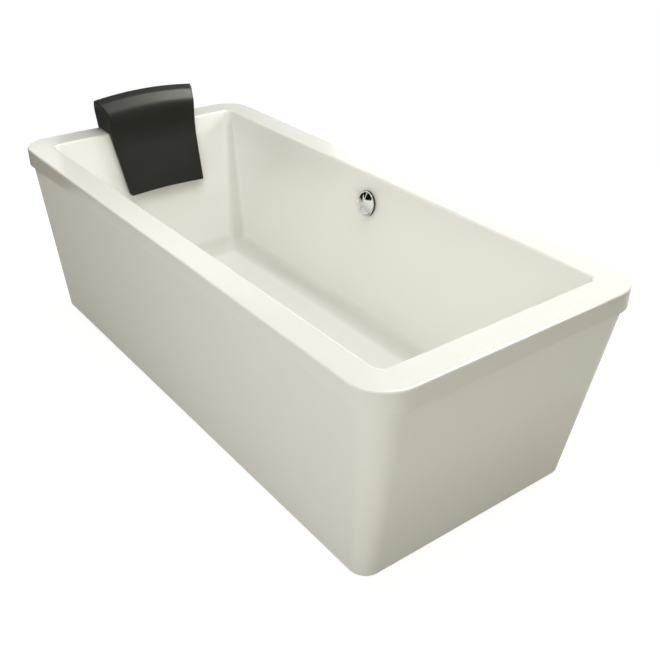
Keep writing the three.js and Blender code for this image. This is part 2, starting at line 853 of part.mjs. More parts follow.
// One shaft across the waste body, a finger under the plug's stem and an arm outside for the cable.
function liftLever() {
  const half = leverThickness / 2;
  const shaftLow = leverSide - leverWidth / 2;
  const shaft = rod(leverShaftRadius, shaftLow, 6).rotateX(-Math.PI / 2);
  const finger = block(0, leverFinger, -3, 3, -half, half);
  const arm = block(-leverArm - 3, 0, shaftLow, shaftLow + leverWidth, -half, half);
  return join(shaft, finger, arm);
}
const lever = place(drain, "lift_lever", liftLever(), zincSteel);
lever.position.set(-leverOffset, 0, leverHeight);

// ---------------------------------------------------------------- outlet, hose and cable

// A path of straight runs through the corners given, each corner rounded to one radius.
class BentPath extends THREE.Curve {
  constructor(corners, radius) {
    super();
    this.points = [corners[0]];
    corners.slice(1, -1).forEach((place, i) => this.round(corners[i], place, corners[i + 2], radius));
    this.points.push(corners.at(-1));
    this.stops = [0];
    this.points.slice(1).forEach((point, i) => {
      this.stops.push(this.stops[i] + point.distanceTo(this.points[i]));
    });
  }

  round(before, corner, after, radius) {
    const back = before.clone().sub(corner).normalize();
    const ahead = after.clone().sub(corner).normalize();
    const half = back.angleTo(ahead) / 2;
    const centre = back.clone().add(ahead).setLength(radius / Math.sin(half));
    const start = back.setLength(radius / Math.tan(half)).sub(centre);
    const end = ahead.setLength(radius / Math.tan(half)).sub(centre);
    const axis = start.clone().cross(end).normalize();
    const steps = 16;
    for (let step = 0; step <= steps; step += 1) {
      const arm = start.clone().applyAxisAngle(axis, ((Math.PI - 2 * half) * step) / steps);
      this.points.push(arm.add(centre).add(corner));
    }
  }

  getPoint(t) {
    const goal = t * this.stops.at(-1);
    const found = this.stops.findIndex((stop) => stop >= goal);
    const i = found < 1 ? (goal > 0 ? this.stops.length - 1 : 1) : found;
    const share = (goal - this.stops[i - 1]) / (this.stops[i] - this.stops[i - 1]);
    return this.points[i - 1].clone().lerp(this.points[i], share);
  }
}

const elbowCorners = [
  new THREE.Vector3(outletReach + seat, 0, outletHeight),
  new THREE.Vector3(outletReach + 40, 0, outletHeight),
  new THREE.Vector3(outletReach + 40, 0, outletFloorGap),
];
const elbowPath = new BentPath(elbowCorners, outletBend);
const elbow = pipe(elbowPath, outletRadius, outletRadius - outletWall, 10, 16);
place(drain, "outlet_elbow", elbow, greyPlastic);

const nutInner = outletRadius + running;
const outletNut = cut(rod(nutInner + 5.5, -10, 10, 8), rod(nutInner, -11, 11, 24));
outletNut.rotateY(Math.PI / 2).translate(outletReach, 0, outletHeight);
place(drain, "outlet_nut", outletNut, whitePlastic);

// The hose leaves the overflow's spigot along the wall and turns in under the basin to the inlet.
const inOverflow = (x, y, z) => new THREE.Vector3(x, y, z).applyMatrix4(overflow.matrixWorld);
const hoseStart = inOverflow(0, -(bodyBore + bodyWall + 4), spigotDepth);
const alongWall = inOverflow(0, -1, 0).sub(inOverflow(0, 0, 0));
const fall = (hoseStart.z - inletHeight) / -alongWall.z;
const hoseCorners = [
  hoseStart,
  hoseStart.clone().addScaledVector(alongWall, fall),
  new THREE.Vector3(valveX, wasteTubeRadius + 5, inletHeight),
];
const hosePath = new BentPath(hoseCorners, hoseBend);
const hose = pipe(hosePath, hoseRadius, hoseRadius - hoseWall, 18, 12);
place(bathtub, "overflow_hose", hose, greyPlastic);

const clampInner = hoseRadius + running;
const clampRing = () => ring(clampInner + clampThickness, clampInner, -clampWidth / 2, clampWidth / 2, 24);
const topClamp = place(overflow, "hose_clamp_top", clampRing().rotateX(Math.PI / 2), zincSteel);
topClamp.position.set(0, -(bodyBore + bodyWall + overflowSpigotLength - 12), spigotDepth);
const lowClamp = place(drain, "hose_clamp_bottom", clampRing().rotateX(Math.PI / 2), zincSteel);
lowClamp.position.set(0, inletReach - 12, inletHeight);

// The cable's sheath runs from the pulley down behind the wall, under the rail and up into the lug.
const cableSide = pulleyRadius + cableRadius + seat;
const cableDepth = pulleyFront - pulleyThickness / 2;
const cableX = valveX + lugX;
const cableLow = inOverflow(0, -overflowHeight * 0.7, cableDepth);
const cableCorners = [
  inOverflow(-cableSide, 0, cableDepth),
  inOverflow(-cableSide, -cableLead, cableDepth),
  new THREE.Vector3(cableX, cableLow.y, cableLow.z),
  new THREE.Vector3(cableX, cableLow.y - cableSlant, cableRun),
  new THREE.Vector3(cableX, leverSide, cableRun),
  new THREE.Vector3(cableX, leverSide, lugTop + cableSpare),
];
const cable = pipe(new BentPath(cableCorners, cableBend), cableRadius, 0, 56, 8);
place(bathtub, "drive_cable", cable, blackPlastic);

// ---------------------------------------------------------------- head pillow

// An outline with each corner cut back and bridged by a curve.
function softOutline(corners, softness) {
  const outline = new THREE.Shape();
  corners.forEach(([x, y], i) => {
    const here = new THREE.Vector2(x, y);
    const before = new THREE.Vector2(...corners.at(i - 1));
    const after = new THREE.Vector2(...corners[(i + 1) % corners.length]);
    const leave = (other) => here.clone().lerp(other, Math.min(0.45, softness / here.distanceTo(other)));
    const start = leave(before);
    const end = leave(after);
    if (i === 0) {
      outline.moveTo(start.x, start.y);
    } else {
      outline.lineTo(start.x, start.y);
    }
    outline.quadraticCurveTo(x, y, end.x, end.y);
  });
  return outline;
}

const pillowBottom = rimHeight - pillowDrop;
const pillowTop = rimHeight + pillowRise;
const headFace = -walls.head.reach;
const headSlope = Math.tan(walls.head.lean);
const pillowGap = pillowWallGap / Math.cos(walls.head.lean);
const backAt = (z) => headFace + (rimHeight - z) * headSlope + pillowGap;

// Side view: a pad down the head wall, and a wedge on the deck that rises to a crest.
const pillowSide = softOutline(
  [
    [backAt(pillowBottom) + pillowBottomThickness, pillowBottom],
    [headFace + pillowRimThickness, rimHeight - 0.16 * pillowRise],
    [headFace + pillowRimThickness, rimHeight + 0.42 * pillowRise],
    [headFace + 0.1 * pillowRimThickness, rimHeight + 0.8 * pillowRise],
    [headFace - pillowCrestReach, pillowTop + pillowCrown],
    [headFace - 0.62 * pillowDeckReach, rimHeight + 0.75 * pillowRise],
    [headFace - pillowDeckReach, rimHeight + seat],
    [headFace - mouthEdgeRadius, rimHeight + seat],
    [backAt(rimHeight), rimHeight + seat],
    [backAt(pillowBottom), pillowBottom],
  ],
  7,
);

function pillowFront() {
  const flank = new THREE.SplineCurve([
    new THREE.Vector2(pillowBottomHalf, pillowBottom),
    new THREE.Vector2(pillowRimHalf, rimHeight),
    new THREE.Vector2(1.02 * pillowRimHalf, rimHeight + 0.5 * pillowRise),
    new THREE.Vector2(pillowTopHalf, pillowTop),
  ]).getPoints(6);
  const bow = (half, level, rise) =>
    [0.75, 0.4, 0, -0.4, -0.75].map((share) => [half * share, level + rise * (1 - share ** 2)]);
  return softOutline(
    [
      ...flank.map((point) => [point.x, point.y]),
      ...bow(pillowTopHalf, pillowTop, pillowCrown),
      ...flank.reverse().map((point) => [-point.x, point.y]),
      ...bow(-pillowBottomHalf, pillowBottom, pillowBottomArch),
    ],
    10,
  );
}

const pillow = new THREE.Group();
pillow.position.y = pillowOffset;
bathtub.add(pillow);
const pillowLength = 4 * pillowTopHalf;
const pillowSlab = prismAlongX(pillowFront(), pillowLength).translate(headFace, 0, 0);
place(pillow, "head_pillow", overlap(prismAlongY(pillowSide, pillowLength), pillowSlab), pillowSkin);

[-1, 1].forEach((sign, i) => {
  const cupTop = pillowWallGap - seat;
  const cup = turned([
    [0, seat + 0.7],
    [suctionCupRadius * 0.7, seat + 0.4],
    [suctionCupRadius, seat],
    [suctionCupRadius, seat + 0.6],
    [suctionCupRadius * 0.5, cupTop],
    [0, cupTop],
  ]);
  const mesh = place(pillow, `suction_cup_${i + 1}`, cup, rubber);
  const drop = suctionCupDrop;
  mesh.position.set(headFace + drop * headSlope, sign * suctionCupSpread, rimHeight - drop);
  mesh.rotation.y = Math.PI / 2 - walls.head.lean;
});

bathtub.updateMatrixWorld(true);

export default bathtub;
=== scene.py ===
# %% [markdown]
# # A freestanding bathtub, dressed for the studio
#
# The engineering model is already packed: 55 separate solids on their bodies and joints. This
# notebook loads it as a fixed frame and gives it its looks. Pieces whose plain solid is good enough
# keep it and get a better finish. Pieces whose curves carry the look, such as the acrylic shells and
# the head pillow, are made again here, finer, in the same place and to the same sizes.

# %% Load the fixed frame
import math

import bmesh
import bpy
import numpy as np
from mathutils import Matrix, Vector


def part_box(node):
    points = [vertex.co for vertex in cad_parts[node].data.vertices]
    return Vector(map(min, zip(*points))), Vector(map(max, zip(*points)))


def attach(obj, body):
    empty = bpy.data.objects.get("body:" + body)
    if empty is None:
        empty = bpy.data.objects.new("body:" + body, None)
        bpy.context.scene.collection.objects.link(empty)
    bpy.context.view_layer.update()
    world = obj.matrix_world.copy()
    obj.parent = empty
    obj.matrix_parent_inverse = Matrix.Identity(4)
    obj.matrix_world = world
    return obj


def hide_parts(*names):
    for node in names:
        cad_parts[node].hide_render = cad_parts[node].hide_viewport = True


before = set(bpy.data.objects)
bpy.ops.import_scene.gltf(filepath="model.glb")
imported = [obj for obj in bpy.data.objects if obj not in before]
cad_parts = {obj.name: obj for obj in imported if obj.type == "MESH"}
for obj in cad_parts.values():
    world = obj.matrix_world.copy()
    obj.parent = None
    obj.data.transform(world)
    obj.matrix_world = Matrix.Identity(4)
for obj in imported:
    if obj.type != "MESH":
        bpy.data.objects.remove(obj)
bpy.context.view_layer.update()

scene = bpy.context.scene

# %% [markdown]
# ## Sizes
#
# Everything is in metres, with the floor at z = 0, +X to the foot end and +Y to the side that carries
# the overflow. The sizes below are the tub's own drawing sizes. A size is written once and the rest
# is worked out from it, so that a fillet still meets its wall when a wall moves.

# %% Driving sizes
MM = 0.001
DEG = math.pi / 180

half_length, half_width, rim_height = 900 * MM, 404 * MM, 575 * MM
rim_corner, rim_edge, lip_height, shell = 93 * MM, 5 * MM, 52 * MM, 6 * MM
lip_bottom = rim_height - lip_height
floor_under, floor_top, floor_fall = 113.9 * MM, 119.9 * MM, 4 * MM
mouth_corner, floor_corner = 24 * MM, 66 * MM
pan_edge, pan_inner = 60 * MM, 40 * MM
valve_x = -6 * MM
overflow_drop = 84 * MM
overflow_hole, drain_hole = 23 * MM, 25.5 * MM

WALLS = {
    "head": (812 * MM, 19 * DEG),
    "foot": (815 * MM, 18 * DEG),
    "side": (327 * MM, 9 * DEG),
}
INNER = {"outset": 0.0, "floor": floor_top + floor_fall, "fillet": 60 * MM, "edge": 8 * MM}
OUTER = {"outset": shell, "floor": floor_under, "fillet": 66 * MM, "edge": 0.0}
print("rim", rim_height, "lip from", round(lip_bottom, 4), "basin floor", floor_top)

# %% [markdown]
# ## The camera
#
# It is made first, because everything is judged through it: a 49 mm lens at standing eye height,
# looking down over the near foot corner. Its three axes are worked out from the compass angle, the
# height angle and a slight roll, and then written as the columns of its matrix.


# %% A new object in the scene
def linked(name, data):
    """An object that carries this data, linked into the scene."""
    made = bpy.data.objects.new(name, data)
    scene.collection.objects.link(made)
    return made


# %% Camera
eye = Vector((1.9178, -1.2847, 1.5248))
azimuth, elevation, roll = 52.84 * DEG, 30.54 * DEG, 0.327 * DEG
back = Vector((
    math.sin(azimuth) * math.cos(elevation),
    -math.cos(azimuth) * math.cos(elevation),
    math.sin(elevation),
))
level = Vector((math.cos(azimuth), math.sin(azimuth), 0))
upright = back.cross(level)
right = math.cos(roll) * level + math.sin(roll) * upright
up = -math.sin(roll) * level + math.cos(roll) * upright

lens = bpy.data.cameras.new("studio_camera")
lens.lens, lens.sensor_width = 48.98, 36.0
camera = linked("studio_camera", lens)
axes = Matrix((right, up, back)).transposed().to_4x4()
camera.matrix_world = Matrix.Translation(eye) @ axes
scene.camera = camera
scene.view_settings.view_transform = "Standard"
print("camera at", tuple(round(x, 3) for x in camera.location), "lens", lens.lens)

# %% [markdown]
# ## Writing node trees as sums
#
# Shader and geometry trees are mostly arithmetic, and arithmetic reads best as arithmetic. `Socket`
# wraps one output of a node, so that `1 - mask` or `height * 0.5 + grain` adds the Math nodes it
# needs. `Graph.add` makes every other node: its type, its settings, then its sockets' values or
# links. The same two classes serve materials, the world and Geometry Nodes.


# %% A socket that does arithmetic
class Socket:
    def __init__(self, graph, link):
        self.graph = graph
        self.link = link

    def maths(self, operation, *others):
        values = dict(enumerate((self, *others)))
        return self.graph.add("ShaderNodeMath", {"operation": operation}, values)

    def __add__(self, other):
        return self.maths("ADD", other)

    def __sub__(self, other):
        return self.maths("SUBTRACT", other)

    def __rsub__(self, other):
        return self.graph.number("SUBTRACT", other, self)

    def __mul__(self, other):
        return self.maths("MULTIPLY", other)

    def __truediv__(self, other):
        return self.maths("DIVIDE", other)

    __radd__ = __add__
    __rmul__ = __mul__


print("a socket understands +, -, * and /")


# %% A tree that builds its own nodes
class Graph:
    def __init__(self, tree):
        self.tree = tree
        tree.nodes.clear()

    def add(self, kind, settings=None, sockets=None, out=0):
        node = self.tree.nodes.new(kind)
        for name, value in (settings or {}).items():
            if name == "stops":
                self.set_stops(node.color_ramp, value)
            else:
                setattr(node, name, value)
        for key, value in (sockets or {}).items():
            if isinstance(value, Socket):
                self.tree.links.new(value.link, node.inputs[key])
            else:
                node.inputs[key].default_value = value
        return Socket(self, node.outputs[out]) if len(node.outputs) else None

    def set_stops(self, ramp, stops):
        while len(ramp.elements) < len(stops):
            ramp.elements.new(1.0)
        for element, (place, colour) in zip(ramp.elements, stops):
            element.position, element.color = place, colour

    def number(self, operation, *values):
        sockets = dict(enumerate(values))
        return self.add("ShaderNodeMath", {"operation": operation}, sockets)

    def vector(self, x, y, z):
        return self.add("ShaderNodeCombineXYZ", {}, {"X": x, "Y": y, "Z": z})

    def mix(self, factor, first, second):
        sockets = {0: factor, 6: first, 7: second}
        return self.add("ShaderNodeMix", {"data_type": "RGBA"}, sockets, out=2)

    def between(self, value, low, high, to_low=0.0, to_high=1.0):
        ends = {"From Min": low, "From Max": high, "To Min": to_low, "To Max": to_high}
        return self.add("ShaderNodeMapRange", {"clamp": True}, {"Value": value, **ends})

    def here(self):
        return self.add("ShaderNodeTexCoord", out="Object")

    def noise(self, scale, detail=2.0, rough=0.5, where=None):
        sockets = {"Scale": scale, "Detail": detail, "Roughness": rough}
        return self.add("ShaderNodeTexNoise", {}, {"Vector": where or self.here(), **sockets})

    def bump(self, height, distance, strength=1.0):
        sockets = {"Height": height, "Distance": distance, "Strength": strength}
        return self.add("ShaderNodeBump", {}, sockets, out="Normal")

    def surface(self, **sockets):
        named = {name.replace("_", " "): value for name, value in sockets.items()}
        return self.add("ShaderNodeBsdfPrincipled", {}, named)


print("a graph can make:", [name for name in vars(Graph) if not name.startswith("_")])


# %% Finishes and colours
def finish(name, build):
    """A material whose shader is what build(graph) returns."""
    made = bpy.data.materials.new(name)
    made.use_nodes = True
    graph = Graph(made.node_tree)
    graph.add("ShaderNodeOutputMaterial", {}, {"Surface": build(graph)})
    return made


def paint(code):
    """A colour as it is mixed on a screen, turned into the light values that shaders use."""
    values = [int(code[i : i + 2], 16) / 255 for i in (0, 2, 4)]
    lit = [v / 12.92 if v <= 0.04045 else ((v + 0.055) / 1.055) ** 2.4 for v in values]
    return (*lit, 1.0)


print("warm white acrylic is", [round(x, 3) for x in paint("f2f1ed")])

# %% [markdown]
# ## Acrylic
#
# A bath of this kind is a cast acrylic sheet, drawn over a mould while hot. Its face is a clear warm
# white with a hard gloss, and two things keep it from looking like plain paint: the sheet's long
# soft waves, which make a reflection wander, and faint wiping haze in the gloss. A third is a stand-in.
# The folds where the walls meet the floor and each other look darker than these lamps make them, so
# the colour is toned down there a little. It is shade painted as colour, not something on the real
# tub. It follows a value stored on the basin's points, and the skirt, which has none, isn't toned.
# The back is another material altogether: chopped glass fibre, rolled on in resin, matt and coarse.


# %% Acrylic face and its glass-fibre back
def acrylic_face(graph):
    cloud = graph.noise(2.2, 2.0)
    haze = graph.noise(7.0, 4.0, 0.6)
    fold = graph.add("ShaderNodeAttribute", {"attribute_name": "fold"}, out="Fac")
    clean = graph.mix(cloud, paint("f2f1ee"), paint("f4f3f1"))
    colour = graph.mix(fold * graph.between(haze, 0.2, 0.8, 0.8, 1.0), clean, paint("dad9d3"))
    wave = graph.noise(9.0, 1.0)
    return graph.surface(
        Base_Color=colour,
        Roughness=graph.between(haze, 0.3, 0.75, 0.12, 0.20),
        IOR=1.49,
        Normal=graph.bump(wave, 1.2 * MM, 0.35),
    )


def fibre_back(graph):
    where = graph.here()
    strands = graph.add(
        "ShaderNodeTexVoronoi", {"feature": "DISTANCE_TO_EDGE"}, {"Vector": where, "Scale": 140.0}
    )
    mottle = graph.noise(18.0, 4.0, 0.6, where)
    tone = graph.mix(mottle, paint("c9c8ba"), paint("dedcd0"))
    relief = graph.between(strands, 0.0, 0.25) * 0.5 + mottle
    return graph.surface(
        Base_Color=tone,
        Roughness=graph.between(mottle, 0.3, 0.7, 0.5, 0.75),
        Normal=graph.bump(relief, 0.8 * MM, 0.8),
    )


ACRYLIC = finish("acrylic_face", acrylic_face)
FIBRE = finish("glass_fibre_back", fibre_back)
print("finishes:", ACRYLIC.name, FIBRE.name)

# %% [markdown]
# ## Metals
#
# The overflow cap, the drain and its plug are polished and chrome plated: a mirror with dried water
# marks in it. The cap's edge, where fingers turn it, is a dark brushed metal: painted shade on that
# edge. The hidden hardware is zinc plated, which shows as pale crystals of slightly different tone
# and sheen. The frame is powder coated, a paint with a fine orange-peel skin.


# %% Chrome, painted shade on the cap's edge, zinc and powder coat
def chrome_plate(graph):
    marks = graph.noise(60.0, 3.0, 0.6)
    smear = graph.noise(9.0, 2.0)
    return graph.surface(
        Base_Color=graph.mix(smear, paint("d6d7d8"), paint("e2e3e4")),
        Metallic=1.0,
        Roughness=graph.between(marks, 0.45, 0.8, 0.05, 0.13),
        Normal=graph.bump(smear, 0.1 * MM, 0.2),
    )


# Painted shade: a dark brushed metal for the cap's edge, standing in for the shade on it.
def painted_shade_edge(graph):
    brushed = graph.noise(900.0, 2.0, 0.5)
    worn = graph.noise(120.0, 3.0, 0.6)
    return graph.surface(
        Base_Color=graph.mix(brushed, paint("262729"), paint("4b4c4e")),
        Metallic=1.0,
        Roughness=graph.between(worn, 0.3, 0.7, 0.26, 0.4),
        Normal=graph.bump(brushed, 0.03 * MM, 0.5),
    )


def zinc_plate(graph):
    where = graph.here()
    spangle = graph.add("ShaderNodeTexVoronoi", {}, {"Vector": where, "Scale": 320.0}, out="Color")
    tone = graph.add("ShaderNodeSeparateColor", {}, {0: spangle})
    grime = graph.noise(35.0, 4.0, 0.6, where)
    return graph.surface(
        Base_Color=graph.mix(tone, paint("8f9497"), paint("bcc0c2")),
        Metallic=0.95,
        Roughness=graph.between(tone + grime, 0.4, 1.5, 0.28, 0.5),
        Normal=graph.bump(grime, 0.1 * MM, 0.4),
    )


def powder_coat(graph):
    peel = graph.noise(700.0, 2.0)
    wear = graph.noise(14.0, 3.0)
    return graph.surface(
        Base_Color=graph.mix(wear, paint("34383b"), paint("42474a")),
        Metallic=0.0,
        Roughness=graph.between(wear, 0.3, 0.7, 0.42, 0.55),
        Normal=graph.bump(peel, 0.15 * MM, 0.5),
    )


CHROME = finish("chrome_plate", chrome_plate)
EDGE_SHADE = finish("painted_shade_edge", painted_shade_edge)
ZINC = finish("zinc_plate", zinc_plate)
POWDER = finish("powder_coat", powder_coat)
print("finishes:", CHROME.name, EDGE_SHADE.name, ZINC.name, POWDER.name)

# %% [markdown]
# ## Plastics, rubber and board
#
# Moulded plastic is never a flat colour up close. Its skin has a fine spark-eroded grain from the
# mould and slow sheen changes where the melt flowed. One recipe with four values gives all of them.
# The board under the basin is chipboard: pressed flakes of many tones, found with a Voronoi pattern
# that is squashed along the board's thickness, as pressing squashes the real flakes.


# %% Moulded plastics, rubber and chipboard
def moulded(dark, light, shine, grain):
    def build(graph):
        where = graph.here()
        flow = graph.noise(22.0, 3.0, 0.5, where)
        texture = graph.noise(1500.0, 1.0, 0.5, where)
        return graph.surface(
            Base_Color=graph.mix(flow, paint(dark), paint(light)),
            Roughness=graph.between(flow, 0.3, 0.7, shine, shine + 0.12),
            Normal=graph.bump(texture, grain, 0.5),
        )

    return build


def chipboard(graph):
    where = graph.add(
        "ShaderNodeMapping", {}, {"Vector": graph.here(), "Scale": (1.0, 1.6, 4.0)}
    )
    flake = graph.add("ShaderNodeTexVoronoi", {}, {"Vector": where, "Scale": 210.0}, out="Color")
    tone = graph.add("ShaderNodeSeparateColor", {}, {0: flake})
    stops = [
        (0.0, paint("8d6a41")),
        (0.35, paint("b48e5f")),
        (0.7, paint("c9a877")),
        (1.0, paint("dcc39a")),
    ]
    colour = graph.add("ShaderNodeValToRGB", {"stops": stops}, {"Fac": tone})
    dust = graph.noise(900.0, 2.0)
    return graph.surface(
        Base_Color=colour,
        Roughness=graph.between(tone, 0.0, 1.0, 0.62, 0.8),
        Normal=graph.bump(tone * 0.6 + dust * 0.4, 0.3 * MM, 0.6),
    )


BLACK = finish("moulded_black", moulded("191a1c", "242528", 0.5, 0.06 * MM))
GREY = finish("moulded_grey", moulded("63676a", "74787b", 0.42, 0.05 * MM))
WHITE = finish("moulded_white", moulded("dedfd9", "eaeae5", 0.38, 0.05 * MM))
RUBBER = finish("gasket_rubber", moulded("202024", "2d2d31", 0.74, 0.08 * MM))
BOARD = finish("chipboard", chipboard)
print("finishes:", BLACK.name, GREY.name, WHITE.name, RUBBER.name, BOARD.name)

# %% [markdown]
# ## Pillow skin
#
# The head pillow is moulded polyurethane foam that grew its own skin against the mould. The skin is
# nearly black with a warm olive cast and a low sheen, weaker than plastic's because the skin is full
# of tiny bubbles. It has a fine leather-like pebble, and patches where heads have polished it.


# %% Pillow skin
def pillow_skin(graph):
    where = graph.here()
    pebble = graph.add(
        "ShaderNodeTexVoronoi",
        {"feature": "SMOOTH_F1"},
        {"Vector": where, "Scale": 900.0, "Smoothness": 0.6},
    )
    patch = graph.noise(11.0, 4.0, 0.6, where)
    dimple = graph.noise(240.0, 3.0, 0.6, where)
    relief = pebble * 0.7 + dimple * 0.5
    return graph.surface(
        Base_Color=graph.mix(patch, paint("1b1c18"), paint("201f1b")),
        Roughness=graph.between(patch, 0.3, 0.7, 0.36, 0.44),
        Specular_IOR_Level=0.18,
        Normal=graph.bump(relief, 0.12 * MM, 0.45),
    )


SKIN = finish("foam_skin", pillow_skin)
print("finish:", SKIN.name)

# %% [markdown]
# ## Making meshes
#
# Four helpers make most of the pieces. `mesh_piece` turns corners and faces into an object, smooth
# across gentle edges and crisp across sharp ones. `wrapped` joins a stack of closed rings into one
# closed skin, as a ring doughnut is closed both ways. `lathe` spins a closed outline about the Z
# axis, and `bored` drills it.


# %% Corners and faces into a piece
SAME_PLACE, NO_LENGTH = 1e-6, 1e-7


def mesh_piece(name, points, faces, *finishes, crease=32, second=0):
    mesh = bpy.data.meshes.new(name)
    mesh.from_pydata([tuple(p) for p in points], [], faces)
    piece = linked(name, mesh)
    for made in finishes:
        mesh.materials.append(made)
    for polygon in mesh.polygons[:second]:
        polygon.material_index = 1
    return tidy_mesh(piece, crease)


def tidy_mesh(piece, crease=32):
    """Merges doubles, turns faces outward and marks the sharp edges."""
    work = bmesh.new()
    work.from_mesh(piece.data)
    bmesh.ops.remove_doubles(work, verts=work.verts, dist=SAME_PLACE)
    bmesh.ops.dissolve_degenerate(work, edges=work.edges, dist=NO_LENGTH)
    bmesh.ops.recalc_face_normals(work, faces=work.faces)
    if work.calc_volume(signed=True) < 0:
        bmesh.ops.reverse_faces(work, faces=work.faces)
    work.to_mesh(piece.data)
    work.free()
    piece.data.shade_smooth()
    piece.data.set_sharp_from_angle(angle=crease * DEG)
    return piece


def wrapped(rows, columns):
    """Quads from each row to the next, and from the last row back to the first."""
    faces = []
    for i in range(rows):
        low, high = i * columns, ((i + 1) % rows) * columns
        for j in range(columns):
            k = (j + 1) % columns
            faces.append((low + j, low + k, high + k, high + j))
    return faces


print("three square rings wrap into", len(wrapped(3, 4)), "faces")


# %% Lathe and drill
def settled(piece):
    """Turns what the modifiers make into the piece's own plain mesh."""
    seen = bpy.context.evaluated_depsgraph_get()
    mesh = bpy.data.meshes.new_from_object(piece.evaluated_get(seen))
    piece.modifiers.clear()
    piece.data = mesh
    return piece


def lathe(name, outline, made, place=Matrix(), turns=72, crease=32):
    """Spins a closed outline of (radius, height) in millimetres about Z, then puts it in place."""
    points = []
    for step in range(turns):
        angle = 2 * math.pi * step / turns
        spoke = Vector((math.cos(angle), math.sin(angle), 0))
        points += [place @ ((r * spoke + Vector((0, 0, z))) * MM) for r, z in outline]
    faces = wrapped(turns, len(outline))
    return mesh_piece(name, points, faces, made, crease=crease)


def cylinder(radius, low, high, place, turns=48):
    """A plain tool for drilling. It is removed after use."""
    outline = [(0, low), (radius, low), (radius, high), (0, high)]
    return lathe("tool", outline, None, place, turns)


def bored(piece, *tools):
    for tool in tools:
        cut = piece.modifiers.new("bore", "BOOLEAN")
        cut.operation, cut.solver, cut.object = "DIFFERENCE", "EXACT", tool
    settled(piece)
    for tool in tools:
        bpy.data.objects.remove(tool)
    return tidy_mesh(piece)


print("lathe turns are in millimetres:", MM, "m each")


# %% A finished piece on its body
def dress(piece, body, slot, *nodes):
    """Puts a finished piece on its body and hides the solids it stands for. The finish's name is not
    used.
    """
    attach(piece, body)
    if nodes:
        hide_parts(*nodes)
    print(f"{piece.name}: {len(piece.data.polygons)} faces on {body}")
    return piece


print("solids to dress or keep:", len(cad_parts))

# %% [markdown]
# ## The rule of the basin
#
# Every level of the tub is a rounded rectangle. Four walls lean outward, each by its own angle, so
# how far a wall stands from the middle is a straight-line function of height. At the floor that line
# runs into a fillet and at the mouth into a small rounding. These three functions are the whole
# shape: how far the bare wall reaches, how far it reaches with its roundings, and the ring of points
# at one height. A guard point stands just off each end of a corner's arc. The guards keep the big
# flat walls flat: without them smooth shading bends the reflection all the way across a wall.


# %% Wall reach at a height
def plane_reach(wall, z, face):
    reach, lean = WALLS[wall]
    return reach + face["outset"] / math.cos(lean) - (rim_height - z) * math.tan(lean)


def wall_reach(wall, z, face):
    reach, lean = WALLS[wall]
    slope, fillet, edge = 1 - math.sin(lean), face["fillet"], face["edge"]
    rise, drop = z - face["floor"], rim_height - z
    if rise < fillet * slope:
        corner = plane_reach(wall, face["floor"], face) - fillet * slope / math.cos(lean)
        return corner + math.sqrt(max(fillet**2 - (fillet - rise) ** 2, 0))
    if drop < edge * slope:
        corner = reach + edge * slope / math.cos(lean)
        return corner - math.sqrt(max(edge**2 - (edge - drop) ** 2, 0))
    return plane_reach(wall, z, face)


print("side wall at the floor:", round(plane_reach("side", floor_top, INNER), 4), "m from the middle")


# %% Rings of points
CORNER_STEPS = 14
GUARD = 4 * MM
SPANS = (26, 12, 26, 12)
CORNERS = ((1, 1, 0), (-1, 1, 90), (-1, -1, 180), (1, -1, 270))


def corner_points(centre_x, centre_y, radius, start):
    points = []
    for k in range(-1, CORNER_STEPS + 2):
        step = min(max(k, 0), CORNER_STEPS)
        angle = (start + 90 * step / CORNER_STEPS) * DEG
        slide = GUARD * (k - step)
        x = centre_x + radius * math.cos(angle) - slide * math.sin(angle)
        y = centre_y + radius * math.sin(angle) + slide * math.cos(angle)
        points.append((x, y))
    return points


def rect_ring(head, foot, side, radius, z):
    arcs = []
    for sx, sy, start in CORNERS:
        centre_x = foot - radius if sx > 0 else radius - head
        arcs.append(corner_points(centre_x, sy * (side - radius), radius, start))
    ring = []
    for arc, following, count in zip(arcs, arcs[1:] + arcs[:1], SPANS):
        ring += arc
        first, last = np.array(arc[-1]), np.array(following[0])
        ring += [tuple(first + (last - first) * (n + 1) / (count + 1)) for n in range(count)]
    return np.array([(x, y, z) for x, y in ring])


def basin_ring(z, face):
    side = wall_reach("side", z, face)
    depth = (rim_height - z) / (rim_height - floor_top)
    rounding = side - plane_reach("side", z, face)
    radius = mouth_corner + (floor_corner - mouth_corner) * depth + face["outset"] + rounding
    return rect_ring(wall_reach("head", z, face), wall_reach("foot", z, face), side, radius, z)


def rim_ring(inset, z):
    radius = rim_corner - inset
    return rect_ring(half_length - inset, half_length - inset, half_width - inset, radius, z)


def pan_ring(like, radius, z):
    """The points of a ring, drawn in along their own lines to a circle round the drain."""
    away = like[:, :2] - (valve_x, 0)
    circle = away / np.linalg.norm(away, axis=1)[:, None] * radius + (valve_x, 0)
    return np.column_stack([circle, np.full(len(circle), z)])


print("a ring has", len(rim_ring(0, rim_height)), "points")

# %% [markdown]
# ## The basin
#
# The basin is one skin that closes on itself. It starts at the drain hole's lower edge, runs out
# under the floor, up the outside of the walls, out under the rim, down inside the lip, round the
# lip's lower edge, up its face, over the rim, down the inside and back across the floor to the drain
# hole. Each stop on that tour is one ring. The floor falls 4 mm to the drain on an eased curve, so
# that no crease shows in the gloss. Only the overflow hole is drilled afterwards.


# %% Rings along the basin's section
def arc_drops(radius, lean, steps):
    return [radius * (1 - math.cos(k / steps * (math.pi / 2 - lean))) for k in range(steps + 1)]


def quarter(radius, steps):
    """Inset and drop pairs round a quarter circle, from its side to its top."""
    turns = [k / steps * math.pi / 2 for k in range(steps + 1)]
    return [(radius * (1 - math.cos(a)), radius * (1 - math.sin(a))) for a in turns]


